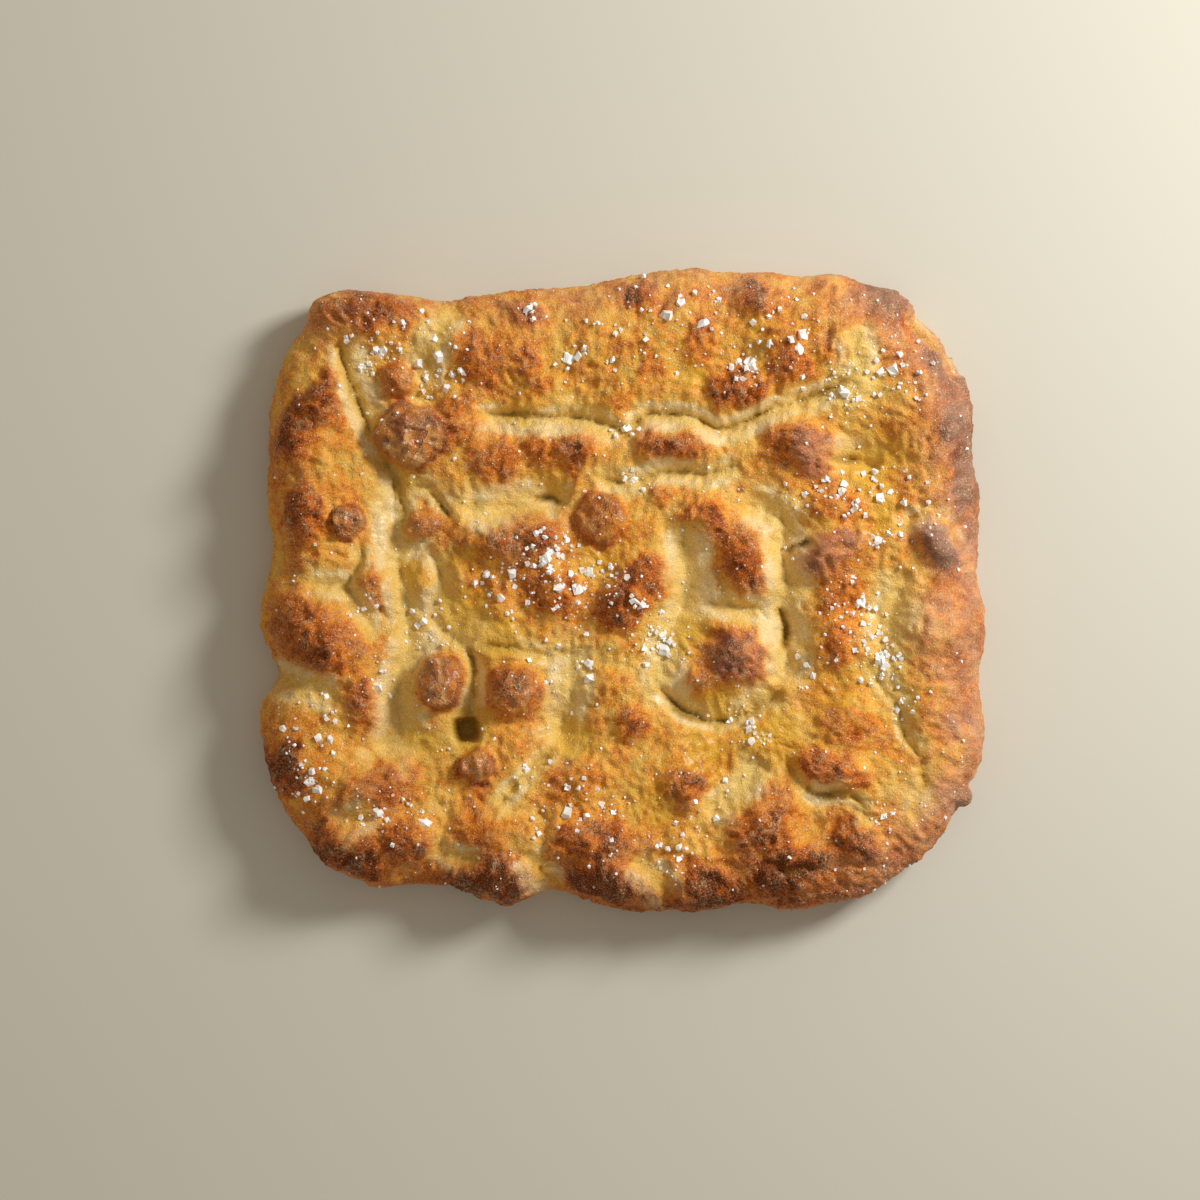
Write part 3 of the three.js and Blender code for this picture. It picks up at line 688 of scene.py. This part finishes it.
    def surface(self, angle: Array, share: Array, tilt: Array) -> tuple[Array, Crust]:
        """Points of the crust.

        Args:
            angle: directions from the middle, in radians.
            share: how far out on the top, from 0 in the middle to 1 where the rounded side begins.
            tilt: 90 degrees on the top, 0 where the side bulges out, -90 at the underside's edge,
                in radians.

        Returns:
            The points in millimetres, one a row, and the crust there.
        """
        radius = self.outline_radius(angle)
        top = tilt > math.pi / 2 - 1e-6
        under = tilt < 0
        reach = np.where(under, self.undercut, self.roll)
        plan = np.where(top, share * (radius - self.roll), radius - reach * (1 - np.cos(tilt)))
        rise = np.where(under, self.bulge_height, self.plain_height(radius - plan) - self.bulge_height)
        height = self.bulge_height + rise * np.sin(tilt)
        out, up = np.cos(tilt) / reach, np.sin(tilt) / rise
        length = np.hypot(out, up)
        inset = np.where(under, plan - radius, radius - plan)
        crust = self.crust(plan * np.cos(angle), plan * np.sin(angle), inset, height)
        kept = np.where(under, (height / self.bulge_height) ** 2, 1)
        offset = crust.offset * kept
        reached = plan + out / length * offset
        z = np.maximum(0, height + up / length * offset)
        return np.stack([reached * np.cos(angle), reached * np.sin(angle), z], 1), crust

    @staticmethod
    def ring_angles(ring: int) -> Array:
        """Angles of one ring of a square grid.

        Args:
            ring: its number, counted from the middle.

        Returns:
            Eight angles for each step out from the middle.
        """
        step = np.arctan2(np.arange(2 * ring) - ring, ring)
        return np.concatenate([step + side * math.pi / 2 for side in range(4)])

    def top_faces(self) -> list[Array]:
        """Faces of the top, ring by ring.

        Returns:
            Blocks of quads, as rows of point numbers.
        """
        blocks = []
        start = 1
        for ring in range(1, self.rings + 1):
            count, before = 8 * ring, start - 8 * (ring - 1)
            side = np.repeat(np.arange(4), 2 * (ring - 1))
            step = np.tile(np.arange(2 * (ring - 1)), 4)
            corner = np.arange(4) * 2 * ring
            inner_corner = np.arange(4) * 2 * (ring - 1)
            if ring == 1:
                centre = np.zeros(4, int)
            else:
                centre = before + inner_corner
            blocks.append(
                np.stack(
                    [start + (corner - 1) % count, start + corner, start + corner + 1, centre], 1
                )
            )
            if ring > 1:
                inner = before + side * 2 * (ring - 1) + step
                inner_next = before + (side * 2 * (ring - 1) + step + 1) % (8 * (ring - 1))
                outer = start + side * 2 * ring + step + 1
                blocks.append(np.stack([outer, outer + 1, inner_next, inner], 1))
            start += count
        return blocks

    def build(self) -> bpy.types.Object:
        """Makes the bread's mesh, with baked colours, painted shade and sheen as point attributes.

        Returns:
            The bread, in metres.
        """
        # Without it, the tilts of crumpled flakes would come from the clock.
        noise.seed_set(self.seed)
        rings = range(1, self.rings + 1)
        angle = np.concatenate([[0.0], *[self.ring_angles(ring) for ring in rings]])
        share = np.concatenate([[0.0], *[np.full(8 * ring, ring / self.rings) for ring in rings]])
        around = 8 * self.rings
        tilts = [math.pi / 2 * (1 - step / self.roll_steps) for step in range(1, self.roll_steps + 1)]
        tilts += [-math.pi / 2 * step / self.under_steps for step in range(1, self.under_steps + 1)]
        edge = self.ring_angles(self.rings)
        angle = np.concatenate([angle, *[edge for _ in tilts]])
        share = np.concatenate([share, np.ones(around * len(tilts))])
        top_count = len(share) - around * len(tilts)
        tilt = np.concatenate([np.full(top_count, math.pi / 2), np.repeat(tilts, around)])
        points, crust = self.surface(angle, share, tilt)

        quads = self.top_faces()
        start = top_count - around
        step = np.arange(around)
        for ring in range(len(tilts)):
            above, below = start + ring * around, start + (ring + 1) * around
            after = (step + 1) % around
            quads.append(np.stack([above + step, below + step, below + after, above + after], 1))
        faces = np.concatenate(quads).tolist()

        # The flat underside, whose rings have half as many points each time.
        rim = points[-around:]
        rows = [points]
        last, count = len(points) - around, around // 2
        total = len(points)
        while count >= around // self.under_thinning:
            shrink = self.under_spread * count / around
            rows.append(rim[:: around // count] * np.array([shrink, shrink, 0]))
            for i in range(count):
                a, b, c = (last + (2 * i + shift) % (2 * count) for shift in range(3))
                p, q = total + i, total + (i + 1) % count
                faces += [(a, p, b), (b, p, q), (b, q, c)]
            last, total, count = total, total + count, count // 2
        count *= 2
        rows.append(np.zeros((1, 3)))
        faces += [(last + i, total, last + (i + 1) % count) for i in range(count)]
        points = np.concatenate(rows)

        low, high = points.min(0), points.max(0)
        self.middle = Vector(((low[0] + high[0]) / 2, (low[1] + high[1]) / 2, 0))
        points = points - np.array(self.middle)
        mesh = bpy.data.meshes.new("bread")
        mesh.from_pydata((points * MM).tolist(), [], faces)
        mesh.update()
        mesh.polygons.foreach_set("use_smooth", np.ones(len(mesh.polygons), bool))
        spare = len(points) - len(crust.brown)
        for name, values, rest in (
            ("brown", crust.brown, 0.75),
            ("pale", crust.pale, 0.0),
            ("oil_and_shade", crust.oil_and_shade, 0.0),
            ("dry_bloom_and_sheen", crust.dry_bloom_and_sheen, 0.3),
            ("peel", crust.peel, 0.0),
            ("seam", crust.seam, 0.0),
        ):
            layer = mesh.attributes.new(name, "FLOAT", "POINT")
            layer.data.foreach_set("value", np.concatenate([values, np.full(spare, rest)]))
        bread = bpy.data.objects.new("bread", mesh)
        bpy.context.scene.collection.objects.link(bread)
        return bread


@dataclass
class Dressing:
    """A node material under construction."""

    material: bpy.types.Material

    @classmethod
    def start(cls, name: str) -> "Dressing":
        """Starts an empty node material.

        Args:
            name: its name.

        Returns:
            The dressing, with nothing in it yet.
        """
        material = bpy.data.materials.new(name)
        material.use_nodes = True
        material.node_tree.nodes.clear()
        return cls(material)

    def node(self, kind: str, **values: object) -> bpy.types.Node:
        """Adds a node.

        Args:
            kind: Blender's name for the node type.
            values: settings by their own name, and numbers or outputs for its inputs, by input
                name with _ for a space.

        Returns:
            The node.
        """
        made = self.material.node_tree.nodes.new(kind)
        for name, value in values.items():
            if name.islower():
                setattr(made, name, value)
            else:
                self.set(made.inputs[name.replace("_", " ")], value)
        return made

    def set(self, socket: Socket, value: object) -> None:
        """Links an output to a socket, or sets its value.

        Args:
            socket: the input.
            value: an output, or a number, colour or vector.
        """
        if isinstance(value, Socket):
            self.material.node_tree.links.new(value, socket)
        else:
            socket.default_value = value

    def math(self, operation: str, *values: object, clamp: bool = False) -> Socket:
        """Adds a math node.

        Args:
            operation: Blender's name for the operation.
            values: numbers or outputs.
            clamp: whether the result is kept from 0 to 1.

        Returns:
            Its output.
        """
        made = self.node("ShaderNodeMath", operation=operation, use_clamp=clamp)
        for socket, value in zip(made.inputs, values):
            self.set(socket, value)
        return made.outputs[0]

    def times(self, first: object, second: object) -> Socket:
        """Product of two numbers or outputs."""
        return self.math("MULTIPLY", first, second)

    def plus(self, first: object, second: object) -> Socket:
        """Sum of two numbers or outputs."""
        return self.math("ADD", first, second)

    def rest(self, value: Socket) -> Socket:
        """What a value leaves of 1, and at least 0."""
        return self.math("SUBTRACT", 1.0, value, clamp=True)

    def over(self, first: object, second: object, gain: float) -> Socket:
        """Share from 0 to 1 that grows by the gain as the first passes the second."""
        return self.math("MULTIPLY", self.math("SUBTRACT", first, second), gain, clamp=True)

    def attribute(self, name: str) -> Socket:
        """Reads a point attribute of the mesh."""
        return self.node("ShaderNodeAttribute", attribute_name=name).outputs["Fac"]

    def place(self) -> Socket:
        """The place on the piece, in metres."""
        return self.node("ShaderNodeTexCoord").outputs["Object"]

    def noise(self, size: float, detail: float = 2.0, rough: float = 0.5, out: str = "Fac") -> Socket:
        """Noise about 0.5.

        Args:
            size: width of one lump, in millimetres.
            detail: how many times finer detail is added.
            rough: how strong the finer detail is.
            out: name of the output, the value or a colour of three of them.

        Returns:
            That output.
        """
        scale = 1 / (size * MM)
        return self.node(
            "ShaderNodeTexNoise", Vector=self.place(), Scale=scale, Detail=detail, Roughness=rough
        ).outputs[out]

    def vector(self, operation: str, *values: object) -> Socket:
        """Adds a vector math node.

        Args:
            operation: Blender's name for the operation.
            values: vectors or outputs.

        Returns:
            Its output.
        """
        made = self.node("ShaderNodeVectorMath", operation=operation)
        for socket, value in zip(made.inputs, values):
            self.set(socket, value)
        return made.outputs[0]

    def facets(self, size: float) -> tuple[Socket, Socket]:
        """Long flat cells with ridges between them, as in crumpled film.

        Args:
            size: width of one cell, in millimetres.

        Returns:
            A value for each cell, and 1 on the ridges.
        """
        bend = 2.4 * MM
        long = self.vector("MULTIPLY", self.place(), (1.0, 0.55, 1.0))
        shift = self.vector("MULTIPLY", self.noise(4.0, out="Color"), (bend, bend, bend))
        spot = self.vector("ADD", long, shift)
        scale = 1 / (size * MM)
        cells = self.node("ShaderNodeTexVoronoi", Vector=spot, Scale=scale)
        edges = self.node(
            "ShaderNodeTexVoronoi", feature="DISTANCE_TO_EDGE", Vector=spot, Scale=scale
        )
        parts = self.node("ShaderNodeSeparateColor", Color=cells.outputs["Color"])
        return parts.outputs[0], self.rest(self.times(edges.outputs["Distance"], 22.0))

    def mix(self, share: object, first: object, second: object, blend: str = "MIX") -> Socket:
        """Mixes two colours.

        Args:
            share: share of the second, a number or an output.
            first: colour or output.
            second: colour or output.
            blend: Blender's name for how they mix.

        Returns:
            The mixed colour.
        """
        made = self.node("ShaderNodeMix", data_type="RGBA", blend_type=blend)
        for index, value in ((0, share), (6, first), (7, second)):
            if isinstance(value, tuple):
                value = (*value, 1.0)
            self.set(made.inputs[index], value)
        return made.outputs[2]

    def ramp(self, value: Socket, stops: Stops) -> Socket:
        """Turns a value into a colour.

        Args:
            value: what is looked up.
            stops: places from 0 to 1, each with its colour.

        Returns:
            The colour.
        """
        made = self.node("ShaderNodeValToRGB", Fac=value)
        elements = made.color_ramp.elements
        while len(elements) < len(stops):
            elements.new(0.5)
        for element, (position, colour) in zip(elements, stops):
            element.position = position
            element.color = (*colour, 1.0)
        return made.outputs["Color"]

    def finish(self, shader: bpy.types.Node) -> bpy.types.Material:
        """Ends the material in that shader."""
        output = self.node("ShaderNodeOutputMaterial")
        self.set(output.inputs["Surface"], shader.outputs[0])
        return self.material


@dataclass(frozen=True)
class BakedCrust:
    """Olive-oil crust that goes from pale dough through gold and amber to dark brown."""

    stops: Stops = (
        (0.0, (0.94, 0.72, 0.27)),
        (0.16, (0.92, 0.60, 0.14)),
        (0.32, (0.90, 0.485, 0.07)),
        (0.45, (0.88, 0.37, 0.038)),
        (0.56, (0.79, 0.257, 0.022)),
        (0.68, (0.64, 0.17, 0.014)),
        (0.84, (0.44, 0.093, 0.008)),
        (1.0, (0.21, 0.042, 0.004)),
    )
    glassy: Stops = (
        (0.1, (0.28, 0.09, 0.035)),
        (0.35, (0.62, 0.20, 0.03)),
        (0.65, (0.76, 0.32, 0.05)),
        (0.95, (0.90, 0.58, 0.24)),
    )
    dough: Colour = (1.0, 0.735, 0.27)
    olive: Colour = (0.84, 0.48, 0.02)
    # Painted shade of the closed folds and the finger hole.
    seam_shade: Colour = (0.24, 0.125, 0.005)
    # Cream of the painted glints and highlights, and of the pale grain.
    glint_cream: Colour = (1.0, 0.82, 0.50)
    pore: Colour = (0.66, 0.52, 0.36)
    # Tints of the painted sheen, partly a dry bloom, over light crust and over dark crust.
    sheen_tan: Colour = (0.92, 0.56, 0.38)
    sheen_on_char: Colour = (0.42, 0.25, 0.19)

    # How much of its own colour each of these lays over the crust.
    olive_share: float = 0.7
    bloom_sheen_share: float = 0.55
    ridge_glint_share: float = 0.5
    glass_and_glint_share: float = 0.62
    seam_shade_share: float = 0.8
    lit_vein_share: float = 0.55
    pore_share: float = 0.6

    # Widths of the lumps of noise, in millimetres.
    ragged_size: float = 11.0
    crack_size: float = 9.0
    facet_size: float = 4.6
    mottle_size: float = 4.0
    vein_size: float = 3.4
    grit_size: float = 0.9
    speck_size: float = 0.6

    # How rough the crust is and how much less where it is oily or glassy, and its relief in metres.
    roughness: float = 0.56
    smoothed: float = 0.32
    bump_depth: float = 0.0012

    def material(self) -> bpy.types.Material:
        """Makes the crust's node material.

        Returns:
            The material.
        """
        d = Dressing.start("baked_crust")
        brown, pale, oil_and_shade = d.attribute("brown"), d.attribute("pale"), d.attribute("oil_and_shade")
        dry_bloom_and_sheen, peel, seam = d.attribute("dry_bloom_and_sheen"), d.attribute("peel"), d.attribute("seam")
        mottle = d.noise(self.mottle_size, 6.0, 0.66)
        grit = d.noise(self.grit_size, 2.0, 0.6)
        speck = d.noise(self.speck_size, 1.0)

        # How dark each spot is, more uneven where it is browner.
        uneven = d.plus(d.times(mottle, 0.6), d.times(d.noise(self.ragged_size, 6.0, 0.62), 0.55))
        uneven = d.times(d.plus(uneven, -0.575), d.plus(d.times(brown, 0.8), 0.5))
        gritty = d.times(d.plus(grit, -0.5), 0.6)
        shade = d.math("ADD", d.plus(brown, uneven), gritty, clamp=True)
        dull = d.rest(shade)
        colour = d.ramp(shade, self.stops)
        colour = d.mix(d.times(pale, dull), colour, self.dough)
        # Painted highlight: where the dough is palest, on the valleys' lips, it turns whitish cream.
        colour = d.mix(d.times(d.over(pale, 0.4, 1.3), dull), colour, self.glint_cream)
        # Olive gold of standing oil, which along closed folds and valley floors is painted shade.
        colour = d.mix(d.times(oil_and_shade, d.times(dull, self.olive_share)), colour, self.olive)
        # Painted sheen, partly a dry bloom: tan over the lit rim and bubbles with dust, darker over
        # dark crust.
        bloom_sheen_colour = d.mix(d.times(shade, 0.8), self.sheen_tan, self.sheen_on_char)
        colour = d.mix(d.times(dry_bloom_and_sheen, self.bloom_sheen_share), colour, bloom_sheen_colour)
        # Glassy skin of crumpled blisters: amber facets, with painted highlights on the ridges between
        # them.
        facet, ridge = d.facets(self.facet_size)
        glass_and_glints = d.mix(d.times(ridge, self.ridge_glint_share), d.ramp(facet, self.glassy), self.glint_cream)
        colour = d.mix(d.times(peel, self.glass_and_glint_share), colour, glass_and_glints)
        # Painted shade: dark lines along the closed folds and on the finger hole's floor.
        colour = d.mix(d.times(seam, self.seam_shade_share), colour, self.seam_shade)

        # Painted highlights: thin light lines where the skin has cracked and curled, in patches on the
        # browned parts.
        lit_veins = d.math("ABSOLUTE", d.plus(d.noise(self.vein_size, 3.0, 0.62), -0.5))
        patches = d.over(d.noise(self.crack_size, 1.0), 0.46, 8.0)
        curled = d.times(patches, d.over(shade, 0.35, 3.0))
        lit_veins = d.times(d.rest(d.times(lit_veins, 30.0)), curled)
        colour = d.mix(d.times(lit_veins, self.lit_vein_share), colour, self.glint_cream)

        # Flecks that are partly pale grain and partly painted glints, fewer where it is dark or oily,
        # and small dark pores.
        flecks_and_glints = d.over(speck, 0.56, 11.0)
        fleck_glint_share = d.times(d.plus(d.times(shade, -0.24), 0.52), d.plus(d.times(oil_and_shade, -0.7), 1.0))
        colour = d.mix(d.times(flecks_and_glints, fleck_glint_share), colour, self.glint_cream)
        pores = d.times(d.over(0.45, speck, 11.0), self.pore_share)
        colour = d.mix(pores, colour, self.pore, "MULTIPLY")

        height = d.plus(d.times(grit, 0.4), d.times(mottle, 1.2))
        height = d.plus(height, d.times(d.plus(lit_veins, flecks_and_glints), 0.35))
        height = d.plus(height, d.times(d.times(ridge, peel), 0.8))
        bump = d.node("ShaderNodeBump", Height=height, Strength=0.8, Distance=self.bump_depth)
        smooth_share = d.math("MAXIMUM", d.times(oil_and_shade, 0.7), peel)
        rough = d.plus(d.times(smooth_share, -self.smoothed), self.roughness)
        glaze = d.math("MAXIMUM", d.math("MAXIMUM", oil_and_shade, pale), d.times(peel, 1.4))
        shader = d.node(
            "ShaderNodeBsdfPrincipled",
            Base_Color=colour,
            Roughness=rough,
            Normal=bump.outputs["Normal"],
            Coat_Weight=d.plus(d.times(glaze, 0.35), 0.03),
        )
        shader.inputs["Specular IOR Level"].default_value = 0.09
        shader.inputs["Coat Roughness"].default_value = 0.3
        shader.inputs["Subsurface Weight"].default_value = 0.08
        shader.inputs["Subsurface Radius"].default_value = (1.0, 0.5, 0.2)
        shader.inputs["Subsurface Scale"].default_value = 0.002
        return d.finish(shader)


@dataclass(frozen=True)
class CoarseSalt:
    """Clear to milky crystals."""

    stops: Stops = ((0.25, (0.90, 0.90, 0.87)), (0.5, (0.99, 0.99, 0.98)))
    cloud_size: float = 1.5
    bump_size: float = 0.5
    bump_depth: float = 0.0002
    roughness: float = 0.28

    def material(self) -> bpy.types.Material:
        """Makes the salt's node material.

        Returns:
            The material.
        """
        d = Dressing.start("coarse_salt")
        colour = d.ramp(d.noise(self.cloud_size), self.stops)
        height = d.noise(self.bump_size)
        bump = d.node("ShaderNodeBump", Height=height, Strength=0.3, Distance=self.bump_depth)
        return d.finish(
            d.node(
                "ShaderNodeBsdfPrincipled",
                Base_Color=colour,
                Roughness=self.roughness,
                Normal=bump.outputs["Normal"],
            )
        )


@dataclass(frozen=True)
class PaleFloor:
    """Matt pale floor."""

    colour: Colour = (0.66, 0.64, 0.555)
    roughness: float = 0.8

    def material(self) -> bpy.types.Material:
        """Makes the floor's material.

        Returns:
            The material.
        """
        d = Dressing.start("pale_floor")
        colour = (*self.colour, 1.0)
        shader = d.node("ShaderNodeBsdfPrincipled", Base_Color=colour, Roughness=self.roughness)
        return d.finish(shader)


class Habit(Enum):
    """Shapes that salt crystals have."""

    PYRAMID = "pyramid"
    BLOCK = "block"


@dataclass
class SaltCover:
    """Coarse salt on the bread: the large flakes of the solid, then smaller ones and grains.

    For each large flake some small ones are strewn round it. The grains fall anywhere within reach,
    and none stays below the lowest height, on the side of the bread.
    """

    flake_radius: float = 2.2
    flake_height: float = 2.2
    strewn: int = 11
    grains: int = 1500
    reach: tuple[float, float] = (138.0, 120.0)
    fall_from: float = 200.0
    lowest: float = 14.0
    seed: int = 71
    points: list[Array] = field(default_factory=list)
    faces: list[tuple[int, ...]] = field(default_factory=list)

    def crystal(self, habit: Habit, sides: int, radius: float, height: float, rng: Random) -> Array:
        """Corner points of one crystal, about the middle of its height.

        Args:
            habit: a pyramid with its tip cut off, or an upright block.
            sides: number of its sides.
            radius: half its width at the bottom.
            height: its height.
            rng: source of the unevenness.

        Returns:
            The bottom ring and then the top ring, one point a row.
        """
        turn = 2 * np.pi * np.arange(sides) / sides
        top = 0.62 if habit is Habit.PYRAMID else 0.92
        rings = [
            np.stack([wide * np.cos(turn), wide * np.sin(turn), np.full(sides, z)], 1)
            for wide, z in ((radius, -height / 2), (top * radius, height / 2))
        ]
        return np.concatenate(rings) + rng.normal(0, 0.15 * radius, (2 * sides, 3))

    def add(
        self, points: Array, sides: int, spot: Vector, normal: Vector, tip: float, turn: float
    ) -> None:
        """Puts a crystal on the crust.

        Args:
            points: its corner points.
            sides: number of its sides.
            spot: where its middle lies.
            normal: the crust's direction there.
            tip: how far it leans, in radians.
            turn: how far it is turned, in radians.
        """
        lie = Vector((0, 0, 1)).rotation_difference(normal).to_matrix()
        spin = lie @ Matrix.Rotation(tip, 3, "X") @ Matrix.Rotation(turn, 3, "Z")
        placed = points @ np.array(spin).T + np.array(spot)
        start = sum(len(block) for block in self.points)
        self.points.append(placed)
        self.faces.append(tuple(start + i for i in reversed(range(sides))))
        self.faces.append(tuple(start + sides + i for i in range(sides)))
        for i in range(sides):
            after = (i + 1) % sides
            self.faces.append((start + i, start + after, start + sides + after, start + sides + i))

    def build(self, bread: bpy.types.Object, middle: Vector) -> bpy.types.Object:
        """Scatters the salt over the bread.

        Args:
            bread: the finished bread, in metres.
            middle: how far the bread was shifted to centre it, in millimetres.

        Returns:
            All the salt as one piece, in metres.
        """
        tree = BVHTree.FromPolygons(
            [vertex.co / MM for vertex in bread.data.vertices],
            [tuple(polygon.vertices) for polygon in bread.data.polygons],
        )
        rng = np.random.default_rng(self.seed)
        state = self.seed

        def draw() -> float:
            """Draws the next of the repeatable numbers that place the solid's flakes.

            Returns:
                A number from 0 to 1.
            """
            nonlocal state
            state = state * DRAW_FACTOR % DRAW_RANGE
            return state / DRAW_RANGE

        def land(x: float, y: float, distance: float = 0.0, heading: float = 0.0) -> Landing:
            """Lets a crystal fall on the bread.

            Args:
                x: place across.
                y: place in depth.
                distance: how far from that place it falls.
                heading: in which direction from it, in radians.

            Returns:
                Where it comes to lie and the crust's direction there, or None beside the bread.
            """
            x += distance * math.cos(heading) - middle.x
            y += distance * math.sin(heading) - middle.y
            spot, normal, _, _ = tree.ray_cast(Vector((x, y, self.fall_from)), Vector((0, 0, -1)))
            return None if spot is None else (spot, normal)

        for x, y, spread, count in DRIFTS:
            for i in range(count):
                distance = spread * math.sqrt((i + 0.3) / count)
                spot, normal = land(x, y, distance, i * GOLDEN_ANGLE + 2 * math.pi * draw())
                radius = self.flake_radius * (0.75 + 0.6 * draw())
                sides = 4 if draw() < 0.5 else 5
                turn, tip = 2 * math.pi * draw(), 0.5 * (draw() - 0.5)
                flake = self.crystal(Habit.PYRAMID, sides, radius, self.flake_height, rng)
                self.add(flake, sides, spot, normal, tip, turn)
            for _ in range(self.strewn * count):
                distance = 1.7 * (spread + 2) * math.sqrt(rng.random())
                landing = land(x, y, distance, 2 * math.pi * rng.random())
                self.sprinkle(landing, 0.35 + 1.1 * rng.random() ** 2, rng)
        for _ in range(self.grains):
            x, y = (rng.uniform(-far, far) for far in self.reach)
            self.sprinkle(land(x, y), 0.2 + 0.6 * rng.random() ** 4, rng)

        mesh = bpy.data.meshes.new("salt")
        mesh.from_pydata((np.concatenate(self.points) * MM).tolist(), [], self.faces)
        mesh.update()
        salt = bpy.data.objects.new("salt", mesh)
        bpy.context.scene.collection.objects.link(salt)
        return salt

    def sprinkle(self, landing: Landing, radius: float, rng: Random) -> None:
        """Adds one small crystal.

        Args:
            landing: where it lies and the crust's direction there, or None beside the bread.
            radius: half its width.
            rng: source of its shape.
        """
        if landing is None or landing[0].z < self.lowest:
            return
        spot, normal = landing
        habit = Habit.PYRAMID if rng.random() < 0.5 else Habit.BLOCK
        height = radius * rng.uniform(0.7, 1.6)
        sides = int(rng.integers(4, 6))
        block = self.crystal(habit, sides, radius, height, rng)
        lifted = spot + normal * 0.25 * height
        self.add(block, sides, lifted, normal, rng.uniform(-0.6, 0.6), rng.uniform(0, 6.28))


@dataclass(frozen=True)
class Lamp:
    """A soft square light that faces the bread."""

    name: str
    place: tuple[float, float, float]
    size: float
    power: float
    colour: Colour = (1.0, 1.0, 1.0)

    def build(self) -> None:
        """Hangs the light."""
        data = bpy.data.lights.new(self.name, "AREA")
        data.size = self.size
        data.energy = self.power
        data.color = self.colour
        lamp = bpy.data.objects.new(self.name, data)
        lamp.location = self.place
        lamp.rotation_mode = "QUATERNION"
        lamp.rotation_quaternion = (-Vector(self.place)).to_track_quat("-Z", "Y")
        bpy.context.scene.collection.objects.link(lamp)


@dataclass
class Studio:
    """Floor, soft light and the camera, which looks straight down."""

    camera_height: float = 1.35
    view_width: float = 0.48
    view_level: float = 0.015
    view_centre: tuple[float, float] = (-8.6, -4.0)
    floor_reach: float = 6.0
    floor_gap: float = 0.0002
    sky: Colour = (1.0, 0.9, 0.76)
    ambient: float = 0.355
    lamps: tuple[Lamp, ...] = (
        Lamp("window", (0.77, 0.50, 0.68), 0.31, 11.9, (1.0, 0.985, 0.95)),
    )

    def build(self, middle: Vector) -> bpy.types.Object:
        """Sets up the studio.

        Args:
            middle: how far the bread was shifted to centre it, in millimetres.

        Returns:
            The floor.
        """
        mesh = bpy.data.meshes.new("floor")
        corners = ((-1, -1, 0), (1, -1, 0), (1, 1, 0), (-1, 1, 0))
        points = [Vector(corner) * self.floor_reach for corner in corners]
        mesh.from_pydata(points, [], [(0, 1, 2, 3)])
        floor = bpy.data.objects.new("floor", mesh)
        floor.location.z = -self.floor_gap
        mesh.materials.append(PaleFloor().material())
        bpy.context.scene.collection.objects.link(floor)
        for lamp in self.lamps:
            lamp.build()
        world = bpy.data.worlds.new("studio")
        world.use_nodes = True
        background = world.node_tree.nodes["Background"]
        background.inputs["Color"].default_value = (*self.sky, 1.0)
        background.inputs["Strength"].default_value = self.ambient
        scene = bpy.context.scene
        scene.world = world
        scene.view_settings.view_transform = "Standard"
        scene.view_settings.look = "None"
        data = bpy.data.cameras.new("camera")
        data.lens = data.sensor_width * (self.camera_height - self.view_level) / self.view_width
        camera = bpy.data.objects.new("camera", data)
        x, y = (centre - shift for centre, shift in zip(self.view_centre, middle))
        camera.location = (x * MM, y * MM, self.camera_height)
        scene.collection.objects.link(camera)
        scene.camera = camera
        return floor


def main() -> None:
    """Builds the bread, its salt and the studio."""
    loaf = Loaf()
    bread = loaf.build()
    bread.data.materials.append(BakedCrust().material())
    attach(bread, "root")
    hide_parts("focaccia")
    log.info("bread: %d faces", len(bread.data.polygons))
    salt = SaltCover().build(bread, loaf.middle)
    salt.data.materials.append(CoarseSalt().material())
    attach(salt, "root")
    log.info("salt: %d faces", len(salt.data.polygons))
    floor = Studio().build(loaf.middle)


if __name__ == "__main__":
    logging.basicConfig(level=logging.INFO)
    main()
